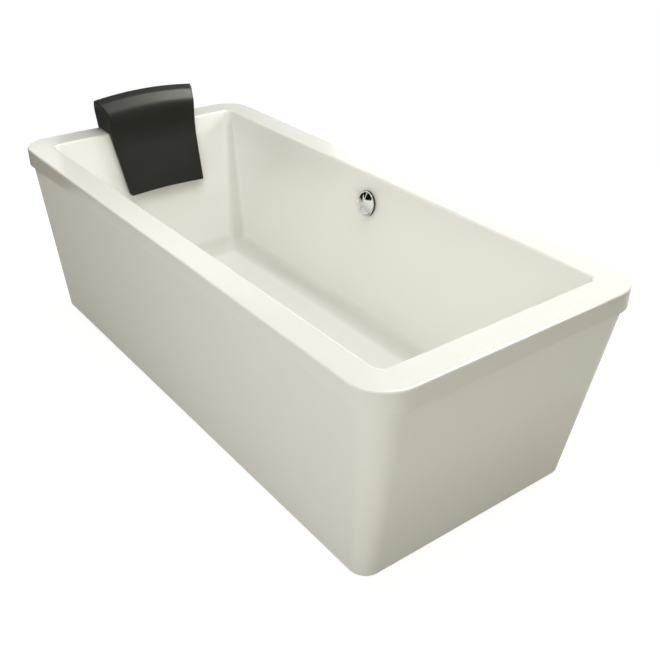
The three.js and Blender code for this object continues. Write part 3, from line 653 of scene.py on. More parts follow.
side_lean = WALLS["side"][1]
PAST_FILLET = 0.88
outer_foot = basin_ring(OUTER["floor"], OUTER)
underside = [pan_ring(outer_foot, radius, floor_under) for radius in (drain_hole, pan_edge)]
outer_fillet = [
    basin_ring(OUTER["floor"] + rise, OUTER) for rise in arc_drops(OUTER["fillet"], side_lean, 10)
]
outer_levels = np.linspace(
    OUTER["floor"] + OUTER["fillet"] * PAST_FILLET, rim_height - shell, 6
)
outer_wall = [basin_ring(z, OUTER) for z in outer_levels]
under_rim = [rim_ring(shell, rim_height - shell), rim_ring(shell, lip_bottom + GUARD)]
backing = underside + outer_fillet + outer_wall + under_rim
print("rings on the back:", len(backing))

# %% Rings on the face
lip_round = 1.4 * MM
lip = [rim_ring(shell, lip_bottom), rim_ring(2 * lip_round, lip_bottom)]
lip += [rim_ring(lip_round * (1 - math.sin(a)), lip_bottom + lip_round * (1 - math.cos(a)))
        for a in np.linspace(0, math.pi / 2, 5)]
lip += [rim_ring(0, lip_bottom + lip_round + GUARD), rim_ring(0, rim_height - rim_edge - GUARD)]
over = [rim_ring(inset, rim_height - drop) for inset, drop in quarter(rim_edge, 6)]
mouth_top = basin_ring(rim_height, INNER)
BY_THE_MOUTH = 0.06
deck = [
    rim_ring(rim_edge + GUARD, rim_height),
    mouth_top + (rim_ring(rim_edge, rim_height) - mouth_top) * BY_THE_MOUTH,
]
mouth = [
    basin_ring(rim_height - drop, INNER) for drop in arc_drops(INNER["edge"], side_lean, 7)
]
wall_low = INNER["floor"] + INNER["fillet"] * (1 - math.sin(side_lean))
wall_levels = [rim_height - 12 * MM, 0.52, 0.45, 0.37, 0.29, 0.22, wall_low + GUARD]
inside = [basin_ring(z, INNER) for z in wall_levels]
fillet = [
    basin_ring(INNER["floor"] + rise, INNER)
    for rise in reversed(arc_drops(INNER["fillet"], side_lean, 16))
]
print("rings on the lip, rim and wall:", len(lip + over + deck + mouth + inside + fillet))


# %% Rings across the floor, and the closed skin
def floor_ring(share):
    """A ring part way in from the fillet to the drain, at the eased height of that place."""
    start, end = fillet[-1], pan_ring(fillet[-1], pan_edge, floor_top)
    ring = start + (end - start) * share
    ring[:, 2] = floor_top + floor_fall * (0.5 + 0.5 * math.cos(math.pi * share))
    return ring


floor_shares = (0.03, 0.1, 0.2, 0.32, 0.45, 0.58, 0.7, 0.82, 0.92, 1.0)
floor = [floor_ring(share) for share in floor_shares]
hole = [pan_ring(fillet[-1], radius, floor_top) for radius in (pan_inner, drain_hole)]
rings = backing + lip + over + deck + mouth + inside + fillet + floor + hole
columns = len(rings[0])
basin = mesh_piece(
    "basin_skin",
    np.vstack(rings),
    wrapped(len(rings), columns),
    ACRYLIC,
    FIBRE,
    second=len(backing) * columns,
)
print("basin faces:", len(basin.data.polygons))

# %% The overflow's own axes, and its hole
wall_y = plane_reach("side", rim_height - overflow_drop, INNER)
OVERFLOW = Matrix.Translation((valve_x, wall_y, rim_height - overflow_drop)) @ Matrix.Rotation(
    math.pi / 2 - side_lean, 4, "X"
)
DRAIN = Matrix.Translation((valve_x, 0, 0))
bored(basin, cylinder(overflow_hole / MM, -18, 6, OVERFLOW, 64))
print("overflow's centre:", tuple(round(x, 4) for x in OVERFLOW.translation))

# %% How deep in a fold each point of the basin lies
fold_top = rim_height - 25 * MM
TURNED_LEAST, TURNED_SPAN, NEVER_ZERO = 0.2, 0.45, 1e-6


def clamp(value):
    """The value, held between 0 and 1."""
    return min(max(value, 0), 1)


def store_folds(piece):
    """Stores a share from 0 on an open face to 1 in the middle of a fold."""
    layer = piece.data.attributes.new("fold", "FLOAT", "POINT")
    whole_turn = math.pi / 2 - side_lean
    for vert, stored in zip(piece.data.vertices, layer.data):
        rise = min(max(vert.co.z - INNER["floor"], 0), INNER["fillet"])
        turned = min(math.acos(1 - rise / INNER["fillet"]) / whole_turn, 1)
        low, high = sorted((abs(vert.normal.x), abs(vert.normal.y)))
        facing = vert.co.x * vert.normal.x + vert.co.y * vert.normal.y
        upright = low / max(high, NEVER_ZERO) if facing < 0 and vert.co.z < fold_top else 0
        corner = clamp((upright - TURNED_LEAST) / TURNED_SPAN) * min(rise / INNER["fillet"] * 2, 1)
        stored.value = max(math.sin(math.pi * turned), corner)


store_folds(basin)
dress(basin, "tub", "acrylic", "basin_shell")

# %% [markdown]
# ## The skirt, with Geometry Nodes
#
# The skirt follows one short rule: at each height it is a rounded rectangle that grows from the
# floor to the lip, and every wall grows by its own taper. Modelling it by hand would mean moving four
# walls and four corners each time a taper changes. As a node tree the rule is written once, and the
# sizes are its inputs. The tree bends a plain grid that knows nothing but its own attributes: which
# corner a point belongs to, how far round the corner it is, how deep it lies in the wall's
# section and how high.


# %% Geometry Nodes helpers
KINDS = {float: "NodeSocketFloat", int: "NodeSocketInt", bpy.types.Material: "NodeSocketMaterial",
         bpy.types.Object: "NodeSocketObject"}


def nodes_tree(name, values, build):
    """A tree with named inputs. build(graph, geometry, inputs) returns the shaped geometry."""
    tree = bpy.data.node_groups.new(name, "GeometryNodeTree")
    tree.interface.new_socket("Geometry", in_out="INPUT", socket_type="NodeSocketGeometry")
    for label, value in values.items():
        tree.interface.new_socket(label, in_out="INPUT", socket_type=KINDS[type(value)])
    tree.interface.new_socket("Geometry", in_out="OUTPUT", socket_type="NodeSocketGeometry")
    graph = Graph(tree)
    entry = graph.add("NodeGroupInput").link.node
    inputs = {label: Socket(graph, entry.outputs[label]) for label in values}
    shaped = build(graph, Socket(graph, entry.outputs["Geometry"]), inputs)
    whole = graph.add("GeometryNodeRealizeInstances", {}, {"Geometry": shaped})
    coated = graph.add(
        "GeometryNodeSetMaterial", {}, {"Geometry": whole, "Material": inputs["Finish"]}
    )
    graph.add("NodeGroupOutput", {}, {"Geometry": coated})
    return tree


def grown(piece, tree, values, crease=32):
    """Runs a tree on a piece: inputs by identifier first, then the result as a plain mesh."""
    modifier = piece.modifiers.new(tree.name, "NODES")
    modifier.node_group = tree
    for item in tree.interface.items_tree:
        if item.in_out == "INPUT" and item.name in values:
            modifier[item.identifier] = values[item.name]
    settled(piece)
    return tidy_mesh(piece, crease)


def attribute(graph, name):
    return graph.add("GeometryNodeInputNamedAttribute", {"data_type": "FLOAT"}, {"Name": name})


def seed_grid(name, rows, cells):
    """A closed grid whose points carry attributes: row values by row, column values by column."""
    height, width = len(next(iter(rows.values()))), len(next(iter(cells.values())))
    mesh = bpy.data.meshes.new(name)
    spread = [(i * MM, j * MM, 0) for i in range(height) for j in range(width)]
    mesh.from_pydata(spread, [], wrapped(height, width))
    for label, values in rows.items():
        layer = mesh.attributes.new(label, "FLOAT", "POINT")
        layer.data.foreach_set("value", np.repeat(np.float32(values), width))
    for label, values in cells.items():
        layer = mesh.attributes.new(label, "FLOAT", "POINT")
        layer.data.foreach_set("value", np.tile(np.float32(values), height))
    return linked(name, mesh)


print("tree inputs can be:", [kind.__name__ for kind in KINDS])

# %% The skirt's tree
SKIRT = {
    "Half Length": half_length,
    "Half Width": half_width,
    "Head Taper": 40 * MM,
    "Foot Taper": 100 * MM,
    "Side Taper": 61 * MM,
    "Recess": 12 * MM,
    "Lip Level": lip_bottom,
    "Low Corner": 45 * MM,
    "High Corner": 74 * MM,
    "Finish": ACRYLIC,
}


def tapered_wall(graph, geometry, size):
    inset, height, angle = (attribute(graph, n) for n in ("inset", "height", "angle"))
    east, north, slide = (attribute(graph, n) for n in ("east", "north", "slide"))
    share = (height / size["Lip Level"]).maths("MINIMUM", 1.0)

    def reach(rim, taper):
        return size[rim] - size[taper] + (size[taper] - size["Recess"]) * share - inset

    to_foot = (east + 1) * 0.5
    ends = reach("Half Length", "Foot Taper") * to_foot
    ends = ends + reach("Half Length", "Head Taper") * (1 - to_foot)
    radius = size["Low Corner"] + (size["High Corner"] - size["Low Corner"]) * share - inset
    cosine, sine = angle.maths("COSINE"), angle.maths("SINE")
    x = east * (ends - radius) + radius * cosine - slide * sine
    y = north * (reach("Half Width", "Side Taper") - radius) + radius * sine + slide * cosine
    sockets = {"Geometry": geometry, "Position": graph.vector(x, y, height)}
    return graph.add("GeometryNodeSetPosition", {}, sockets)


def skirt_columns():
    steps = [(k, min(max(k, 0), CORNER_STEPS)) for k in range(-1, CORNER_STEPS + 2)]
    places = [(sx, sy, start, k, step) for sx, sy, start in CORNERS for k, step in steps]
    return {
        "east": [p[0] for p in places],
        "north": [p[1] for p in places],
        "angle": [(p[2] + 90 * p[4] / CORNER_STEPS) * DEG for p in places],
        "slide": [GUARD * (p[3] - p[4]) for p in places],
    }


def skirt_rows(gap=2 * MM, wall=5 * MM, flange=18 * MM, soft=1.5 * MM, clear=0.3 * MM):
    top = rim_height - shell - clear
    edge = [(soft * (1 - math.sin(a)), gap + soft * (1 - math.cos(a)))
            for a in np.linspace(0, math.pi / 2, 5)]
    face = [(0, gap + soft + GUARD), (0, lip_bottom - 30 * MM), (0, lip_bottom), (0, top)]
    inner = [(wall, top), (wall, lip_bottom), (wall, gap + wall), (flange, gap + wall)]
    rows = edge + face + inner + [(flange, gap), (soft + GUARD, gap)]
    return {"inset": [r[0] for r in rows], "height": [r[1] for r in rows]}


skirt = seed_grid("skirt_skin", skirt_rows(), skirt_columns())
grown(skirt, nodes_tree("tapered_wall", SKIRT, tapered_wall), SKIRT)
dress(skirt, "tub", "acrylic", "skirt_shell")

# %% [markdown]
# ## The head pillow
#
# A pad of moulded foam hangs down the sloping head wall, and above the rim it stands up as a thick
# wedge: a round front shoulder, a flat slope up to a thin top edge, and a back that sits on the rim.
# Seen from the side it is one outline, swept from flank to flank. The flanks flare out towards the
# top and the top edge is crowned. Moulded foam is stiff: it doesn't sag or wrinkle, so a cloth
# simulation would only blur it, and the crown, the arch and the rounded edges are written as rules.
# The sweep is built square first and cut by level planes, and then every point is moved to its real
# place. The level cuts let the flat flanks bend to the flare without facets.

# %% The pillow's side outline
head_face, lean = -WALLS["head"][0], WALLS["head"][1]
pillow_y, pillow_low, pillow_high = 20 * MM, rim_height - 193 * MM, rim_height + 107 * MM
crest, rim_seat = head_face - 33 * MM, rim_height + 0.3 * MM


def pillow_back(z):
    return head_face + (rim_height - z) * math.tan(lean) + 4 * MM / math.cos(lean)


PILLOW_SIDE = [
    (pillow_back(pillow_low) + 24 * MM, pillow_low, 6),
    (head_face + 27 * MM, rim_height - 17 * MM, 40),
    (head_face + 28 * MM, rim_height + 50 * MM, 16),
    (head_face + 22 * MM, rim_height + 70 * MM, 12),
    (head_face - 6 * MM, rim_height + 96 * MM, 5),
    (crest, pillow_high, 4),
    (head_face - 55 * MM, rim_height + 78 * MM, 20),
    (head_face - 86.5 * MM, rim_seat, 5),
    (head_face - 8 * MM, rim_seat, 4),
    (pillow_back(rim_height), rim_seat, 4),
    (pillow_back(pillow_low), pillow_low, 4),
]


def soft_loop(corners, steps=7, least_gap=0.4 * MM):
    """An outline whose corners are cut back by their softness and bridged by a curve."""
    loop = []
    for i, (x, z, soft) in enumerate(corners):
        here = Vector((x, z))
        ends = []
        for other in (corners[i - 1], corners[(i + 1) % len(corners)]):
            way = Vector(other[:2]) - here
            ends.append(here + way * min(0.5, soft * MM / way.length))
        for k in range(steps + 1):
            t = k / steps
            loop.append(ends[0] * (1 - t) ** 2 + here * 2 * t * (1 - t) + ends[1] * t**2)
    spaced = [loop[0]]
    for point in loop[1:]:
        if (point - spaced[-1]).length > least_gap:
            spaced.append(point)
    return spaced


def drawn_in(loop, amount):
    """The same outline, moved inward by an amount along its own normals."""
    inner = []
    for i, point in enumerate(loop):
        along = (loop[(i + 1) % len(loop)] - loop[i - 1]).normalized()
        inner.append(point - Vector((along.y, -along.x)) * amount)
    return inner


side_loop = soft_loop(PILLOW_SIDE)
turning = sum(a.cross(b) for a, b in zip(side_loop, side_loop[1:] + side_loop[:1]))
inward = 1 if turning > 0 else -1
print("pillow outline:", len(side_loop), "points")

# %% How wide the pillow is at a point
half_low, half_rim, half_top, half_back = 136 * MM, 155 * MM, 180 * MM, 152 * MM
wedge_depth, least_depth = 113 * MM, 1 * MM
FLARE_POWER = 4


def above_rim(z):
    """From 0 at the rim to 1 at the pillow's top."""
    return clamp((z - rim_height) / (pillow_high - rim_height))


def below_rim(z):
    """From 0 at the rim to 1 at the pillow's lower edge."""
    return clamp((rim_height - z) / (rim_height - pillow_low))


def half_span(x, z):
    """Half the width at a point: straight up to the rim, then flared. The back tapers straight."""
    rise, sink = above_rim(z), below_rim(z)
    front = half_rim + (half_low - half_rim) * sink + (half_top - half_rim) * rise**FLARE_POWER
    back = half_back + (half_top - half_back) * rise
    depth = (1 - rise) * wedge_depth + least_depth
    share = clamp((crest + 0.5 * depth - x) / depth) if z > rim_height else 0
    return front + (back - front) * share


print("pillow's half width at rim and top:", half_span(0, rim_height), half_span(0, pillow_high))

# %% Sweep, level cuts and the rules that shape it
square_half, flank_round, row_clear = 150 * MM, 4 * MM, 3 * MM
first_cut, cut_step = 8 * MM, 9 * MM
crown_height, arch_height, bulge_depth, back_clear = 13 * MM, 6 * MM, 2.5 * MM, 6 * MM


def sweep_rows(loop, half=square_half, soft=flank_round):
    """Copies of the outline from flank to flank. The last few draw in round the edge."""
    edge = [(half - soft * (1 - math.sin(a)), soft * (1 - math.cos(a)))
            for a in np.linspace(0, math.pi / 2, 6)]
    middle = [(y, 0) for y in np.linspace(-half + soft + row_clear, half - soft - row_clear, 31)]
    rows = [(-y, inset) for y, inset in reversed(edge)] + middle + edge
    return [[(p.x, y, p.y) for p in drawn_in(loop, inset * inward)] for y, inset in rows]


def square_pillow():
    rows = sweep_rows(side_loop)
    count = len(side_loop)
    work = bmesh.new()
    verts = [[work.verts.new(p) for p in row] for row in rows]
    for low, high in zip(verts, verts[1:]):
        for j in range(count):
            work.faces.new((low[j], low[(j + 1) % count], high[(j + 1) % count], high[j]))
    work.faces.new(verts[0])
    work.faces.new(list(reversed(verts[-1])))
    for z in np.arange(pillow_low + first_cut, pillow_high, cut_step):
        everything = [*work.verts, *work.edges, *work.faces]
        bmesh.ops.bisect_plane(work, geom=everything, dist=SAME_PLACE, plane_co=(0, 0, z),
                               plane_no=(0, 0, 1))
    return work


def shape_pillow(work):
    for vert in work.verts:
        x, y, z = vert.co
        u = y / square_half
        rise, sink = above_rim(z), below_rim(z)
        crown = crown_height * rise * (1 - u * u)
        arch = arch_height * sink**2 * (1 - u * u)
        on_face = x > pillow_back(z) + back_clear
        bulge = bulge_depth * (1 - u**4) * sink * on_face
        vert.co = (x + bulge, pillow_y + u * half_span(x, z), z + crown + arch)


work = square_pillow()
shape_pillow(work)
mesh = bpy.data.meshes.new("pillow_pad")
work.to_mesh(mesh)
work.free()
mesh.materials.append(SKIN)
pillow = linked("pillow_pad", mesh)
tidy_mesh(pillow, 50)
dress(pillow, "pillow", "pillow_skin", "head_pillow")

# %% [markdown]
# ## The overflow cap
#
# Turning this cap winds the cable that lifts the plug. It is a low dome inside a raised ring, with a
# thick straight edge for the fingers, spun from brass and chrome plated. A lathe outline with real
# roundings matters here more than anywhere: on a mirror, each change of curvature is a line of
# light.

# %% Overflow cap and collar
CAP = [
    (0, 4.5), (36.6, 4.5), (37.6, 4.7), (38.6, 5.4), (39, 6.6), (39, 11.2), (38.8, 12.3),
    (38.2, 13.1), (37.2, 13.5), (36.2, 13.5), (35.4, 13.1), (34.8, 12.3), (34.2, 11.4),
    (33.4, 11.0), (32.4, 11.2), (30, 11.85), (26, 12.9), (21, 14.1), (15, 15.4), (10, 16.3),
    (6, 16.85), (3, 17.05), (0, 17.1),
]
spindle_bore, screw_bore, screw_level = 4.3, 2.3, 9
shaded_edge_radius, shaded_edge_top = 38.4, 12.6
cap = lathe("overflow_dial", CAP, CHROME, OVERFLOW, 96)
at_screw = Matrix.Translation((0, 0, screw_level * MM))
screw_way = OVERFLOW @ at_screw @ Matrix.Rotation(math.pi / 2, 4, "X")
spindle_tool = cylinder(spindle_bore, 3, 10.5, OVERFLOW, 32)
bored(cap, spindle_tool, cylinder(screw_bore, 5, 45, screw_way, 24))
cap.data.materials.append(EDGE_SHADE)
# The edge below the raised ring takes the painted shade.
to_cap = OVERFLOW.inverted()
for face in cap.data.polygons:
    spot = to_cap @ face.center / MM
    if math.hypot(spot.x, spot.y) > shaded_edge_radius and spot.z < shaded_edge_top:
        face.material_index = 1
dress(cap, "overflow_turner", "chrome", "overflow_cap")

COLLAR = [
    (20, -22), (22.5, -22), (22.5, 0.3), (29.4, 0.3), (30, 0.8), (30, 2.2), (29.7, 2.8),
    (29.0, 3.0), (21.2, 3.0), (20.4, 2.7), (20, 2.0),
]
collar = lathe("overflow_ring", COLLAR, CHROME, OVERFLOW, 72)
dress(collar, "tub", "chrome", "overflow_collar")

# %% [markdown]
# ## The drain
#
# The plug is a shallow dome that rides up and down on a stem. Its flange is clamped through the
# floor, and three spokes inside the throat carry a hub that guides the stem. The spokes repeat, so
# Geometry Nodes place them: one bar, instanced on the points of a small circle.


# %% Bars on a circle
def bars_round(graph, geometry, size):
    """Bars that stand on a circle and point away from its middle, joined to what comes in."""
    bar_size = graph.vector(size["Bar Length"], size["Bar Width"], size["Bar Height"])
    bar = graph.add("GeometryNodeMeshCube", {}, {"Size": bar_size})
    shift = graph.vector(size["Bar Length"] * 0.5, 0.0, 0.0)
    bar = graph.add("GeometryNodeTransform", {}, {"Geometry": bar, "Translation": shift})
    circle = graph.add("GeometryNodeMeshCircle", {}, {"Vertices": size["Count"],
                                                      "Radius": size["Start"]})
    place = graph.add("GeometryNodeInputPosition")
    turn = graph.add("FunctionNodeAlignRotationToVector", {"axis": "X"}, {"Vector": place})
    ring = graph.add("GeometryNodeInstanceOnPoints", {},
                     {"Points": circle, "Instance": bar, "Rotation": turn})
    ring = graph.add("GeometryNodeTransform", {},
                     {"Geometry": ring, "Translation": graph.vector(0.0, 0.0, size["Level"])})
    both = graph.add("GeometryNodeJoinGeometry", {}, {"Geometry": ring})
    graph.tree.links.new(geometry.link, both.link.node.inputs["Geometry"])
    return both


def placed(piece, place):
    piece.data.transform(place)
    return piece


def united(piece, other):
    """Adds another piece's mesh to this one, and removes the other."""
    work = bmesh.new()
    work.from_mesh(piece.data)
    work.from_mesh(other.data)
    work.to_mesh(piece.data)
    work.free()
    bpy.data.objects.remove(other)
    return tidy_mesh(piece)


BARS = {"Count": 3, "Start": 5 * MM, "Bar Length": 15.2 * MM, "Bar Width": 3 * MM,
        "Bar Height": 6 * MM, "Level": 101.3 * MM, "Finish": CHROME}
bars_tree = nodes_tree("bars_round", BARS, bars_round)
print("bars tree:", len(bars_tree.nodes), "nodes")

# %% Flange with its hub
FLANGE = [
    (19.5, 94.3), (24.8, 94.3), (24.8, 120.2), (35.4, 120.2), (36, 120.7), (35.9, 121.6),
    (35.2, 122.5), (34.2, 123.1), (33.2, 123.2), (22.4, 123.2), (21.2, 123.0), (20.2, 122.3),
    (19.5, 121.2),
]
HUB = [(4.3, 98.3), (6.4, 98.3), (6.8, 98.8), (6.8, 103.8), (6.4, 104.3), (4.3, 104.3)]
flange = lathe("drain_throat", FLANGE, CHROME)
hub = grown(lathe("drain_hub", HUB, CHROME, turns=36), bars_tree, BARS)
placed(united(flange, hub), DRAIN)
dress(flange, "tub", "chrome", "drain_flange")

# %% Plug
stem_bore = 4.3
PLUG = [
    (0, 117.5), (15.4, 117.5), (16, 118), (16, 119), (15.6, 119.3), (14, 119.3), (14, 123.5),
    (28.8, 123.5), (29.7, 123.9), (30, 124.8), (30, 125.6), (29.7, 126.6), (28.9, 127.4),
    (27.4, 128.0), (24, 128.5), (18, 129.2), (12, 129.6), (6, 129.8), (0, 129.9),
]
plug = lathe("drain_dome", PLUG, CHROME, DRAIN, 96)
bored(plug, cylinder(stem_bore, 116, 124.5, DRAIN, 32))
dress(plug, "pop_up_plug", "chrome", "drain_plug")

# %% [markdown]
# ## Grip ribs on the nut and the cap
#
# The outlet nut and the sump's cap are tightened by hand, so they are ribbed. The same tree as the
# spokes makes the ribs, with other numbers: many short bars on a larger circle.

# %% Outlet nut and sump cap
NUT_BARS = {**BARS, "Count": 24, "Start": 22.2 * MM, "Bar Length": 1.5 * MM, "Bar Width": 2 * MM,
            "Bar Height": 17 * MM, "Level": 0.0, "Finish": WHITE}
NUT = [(18.3, -10), (22.0, -10), (22.6, -9.4), (22.6, 9.4), (22.0, 10), (18.3, 10)]
nut = grown(lathe("outlet_grip_nut", NUT, WHITE, turns=48), bars_tree, NUT_BARS)
outlet = Matrix.Translation((valve_x + 60 * MM, 0, 44 * MM))
placed(nut, outlet @ Matrix.Rotation(math.pi / 2, 4, "Y"))
dress(nut, "tub", "white_plastic", "outlet_nut")

SUMP_BARS = {**BARS, "Count": 30, "Start": 31.2 * MM, "Bar Length": 1.1 * MM, "Bar Width": 2 * MM,
             "Bar Height": 9 * MM, "Level": 18.7 * MM, "Finish": GREY}
SUMP = [(0, 12.7), (30.6, 12.7), (31.6, 13.3), (31.6, 24.2), (31.2, 24.7), (29.3, 24.7),
        (29.3, 15.7), (0, 15.7)]
sump = grown(lathe("sump_grip_cap", SUMP, GREY), bars_tree, SUMP_BARS)
dress(placed(sump, DRAIN), "tub", "grey_plastic", "sump_cap")

# %% [markdown]
# ## The overflow hose
#
# The hose is corrugated so that it bends without kinking. It is one closed skin, smooth inside and
# ridged outside, that follows a path behind the wall and in under the floor. The seed grid knows how
# far along, how far round and whether a point lies inside or outside. The tree reads the path's
# place and axes there and sets the radius.


# %% The path of the hose
def bent_path(corners, radius, steps=16):
    """Straight runs between corners, with each corner rounded to one radius."""
    path = [corners[0]]
    for before, here, after in zip(corners, corners[1:], corners[2:]):
        back_way, on_way = (before - here).normalized(), (after - here).normalized()
        half = back_way.angle(on_way) / 2
        centre = (back_way + on_way).normalized() * (radius / math.sin(half))
        start = back_way * (radius / math.tan(half)) - centre
        axis = start.cross(on_way * (radius / math.tan(half)) - centre).normalized()
        for k in range(steps + 1):
            arm = Matrix.Rotation((math.pi - 2 * half) * k / steps, 3, axis) @ start
            path.append(here + centre + arm)
    return path + [corners[-1]]


inlet_level, inlet_y, hose_bend = 42 * MM, 34 * MM, 100 * MM
hose_start = OVERFLOW @ Vector((0, -29.8 * MM, -28.6 * MM))
down_wall = (OVERFLOW.to_3x3() @ Vector((0, -1, 0))).normalized()
hose_turn = hose_start + down_wall * ((hose_start.z - inlet_level) / -down_wall.z)
hose_end = Vector((valve_x, inlet_y, inlet_level))
hose_path = bent_path([hose_start, hose_turn, hose_end], hose_bend)
hose_length = sum((b - a).length for a, b in zip(hose_path, hose_path[1:]))
line = bpy.data.curves.new("hose_path", "CURVE")
line.dimensions = "3D"
spline = line.splines.new("POLY")
spline.points.add(len(hose_path) - 1)
for point, place in zip(spline.points, hose_path):
    point.co = (*place, 1)
guide = linked("hose_path", line)
print("hose path:", round(hose_length, 3), "m")

# %% The hose's tree
HOSE = {"Path": guide, "Radius": 15 * MM, "Bore": 12.3 * MM, "Ridge": 1.8 * MM, "Pitch": 6.5 * MM,
        "Cuff": 42 * MM, "Length": hose_length, "Finish": GREY}


def ridged_hose(graph, geometry, size):
    along, turn, inside = (attribute(graph, n) for n in ("along", "turn", "inside"))
    settings = {"transform_space": "RELATIVE"}
    path = graph.add("GeometryNodeObjectInfo", settings, {"Object": size["Path"]}, out="Geometry")
    at = {"Curves": path, "Length": along * size["Length"]}
    settings = {"mode": "LENGTH", "use_all_curves": True, "data_type": "FLOAT"}
    place = graph.add("GeometryNodeSampleCurve", settings, at, out="Position")
    side = Socket(graph, place.link.node.outputs["Normal"])
    ahead = Socket(graph, place.link.node.outputs["Tangent"])
    other = graph.add("ShaderNodeVectorMath", {"operation": "CROSS_PRODUCT"}, {0: ahead, 1: side})
    run = along * size["Length"]
    from_end = run.maths("MINIMUM", size["Length"] - run)
    ridged = (from_end - size["Cuff"]).maths("GREATER_THAN", 0.0)
    wave = (run / size["Pitch"] * (2 * math.pi)).maths("COSINE") * 0.5 + 0.5
    outer = size["Radius"] - size["Ridge"] * wave * ridged
    radius = outer + (size["Bore"] - outer) * inside
    for axis, amount in ((side, turn.maths("COSINE")), (other, turn.maths("SINE"))):
        push = graph.add("ShaderNodeVectorMath", {"operation": "SCALE"},
                         {0: axis, "Scale": amount * radius})
        place = graph.add("ShaderNodeVectorMath", {"operation": "ADD"}, {0: place, 1: push})
    return graph.add("GeometryNodeSetPosition", {}, {"Geometry": geometry, "Position": place})


ROWS_PER_RIDGE, HOSE_SIDES = 8, 24
forth = np.linspace(0, 1, int(hose_length / HOSE["Pitch"] * ROWS_PER_RIDGE))
there_and_back = {"along": [*forth, *forth[::-1]], "inside": [0] * len(forth) + [1] * len(forth)}
around = {"turn": np.arange(HOSE_SIDES) * 2 * math.pi / HOSE_SIDES}
hose = seed_grid("ridged_hose", there_and_back, around)
grown(hose, nodes_tree("ridged_hose", HOSE, ridged_hose), HOSE, crease=60)
bpy.data.objects.remove(guide)
dress(hose, "tub", "grey_plastic", "overflow_hose")

# %% [markdown]
# ## Levelling feet
#
# Four feet carry the tub. Each is a threaded stud on a swivelling plastic pad, and it screws up and
# down to level the bath. The thread is drawn as rings of a lathe outline, one ridge per pitch, which
# is all that shows at this size. The pad has a moulded skirt and a collar that the stud snaps into.

# %% Pads and threaded studs
PAD = [(0, 0), (22.4, 0), (24.2, 0.6), (25, 2), (25, 6.4), (24.4, 7.6), (23, 8), (15, 8.6),
       (12.8, 9.4), (12, 11), (12, 18.8), (11.4, 19.7), (10.4, 20), (6.3, 20), (6.3, 8), (0, 8)]


def thread_outline(radius, low, high, pitch, depth):
    outline = [(0, low), (radius - depth, low)]
    for z in np.arange(low + pitch, high - 1.2 * pitch, pitch):
        outline += [(radius - depth, z), (radius, z + 0.42 * pitch), (radius, z + 0.58 * pitch)]
    return outline + [(radius - depth, high - 0.8), (radius - depth - 0.8, high), (0, high)]


for number in (1, 2, 3, 4):
    low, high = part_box(f"foot_pad_{number}")
    stud_low, stud_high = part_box(f"foot_stud_{number}")
    stand = Matrix.Translation(((low.x + high.x) / 2, (low.y + high.y) / 2, 0))
    pad = lathe(f"level_pad_{number}", PAD, BLACK, stand, 48)
    dress(pad, f"foot_{number}", "black_plastic", f"foot_pad_{number}")
    thread = thread_outline(6, stud_low.z / MM, stud_high.z / MM, pitch=1.75, depth=0.7)
    stud = lathe(f"level_stud_{number}", thread, ZINC, stand, 24, crease=80)
    dress(stud, f"foot_{number}", "zinc_steel", f"foot_stud_{number}")

# %% [markdown]
# ## Finishes for the solids that stay
#
# The rest of the hardware is plain by nature: square tube, bent strip, bolts, nuts and gaskets. Its
# solids are right as they are and keep their shape. Each one's material slot is given the finish of
# what it is made of.

# %% Coat the remaining solids
COATS = {
    "floor_board": BOARD,
    "frame_": POWDER,
    "frame_bolt": ZINC,
    "skirt_clip": ZINC,
    "foot_nut": ZINC,
    "lock_nut": ZINC,
    "cap_grub_screw": ZINC,
    "overflow_spindle": ZINC,
    "hose_clamp": ZINC,
    "plug_stem": ZINC,
    "lift_lever": ZINC,
    "overflow_gasket": RUBBER,
    "drain_gasket": RUBBER,
    "plug_seal": RUBBER,
    "suction_cup": RUBBER,
    "overflow_body": GREY,
    "outlet_elbow": GREY,
    "cable_pulley": WHITE,
    "waste_body": WHITE,
    "drive_cable": BLACK,
}
coated = 0
for name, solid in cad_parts.items():
    match = [start for start in COATS if name.startswith(start)]
    if match:
        solid.data.materials.clear()
        solid.data.materials.append(COATS[max(match, key=len)])
        coated += 1
print("solids coated:", coated)

# %% [markdown]
# ## The studio
#
# A plain sweep of white paper under soft light. The world gives the tub a dim warm glow from part
# way up, as a studio's walls do. What the lens and polished surfaces see of it is plain white. The
# floor shows three faces. To the lens it is white paper that still takes the tub's shadow. To a
# reflection it is white too, but it fades close beside the tub, where the tub's own shadow lies, and
# towards both ends, where the paper runs out of light. To everything else it is matt and darker than
# white paper, so that it throws less light on the tub.


# %% Floor
def seen_directly(graph):
    rays = [graph.add("ShaderNodeLightPath", out=name)
            for name in ("Is Camera Ray", "Is Glossy Ray", "Is Transmission Ray")]
    return (rays[0] + rays[1] + rays[2]).maths("MINIMUM", 1.0)


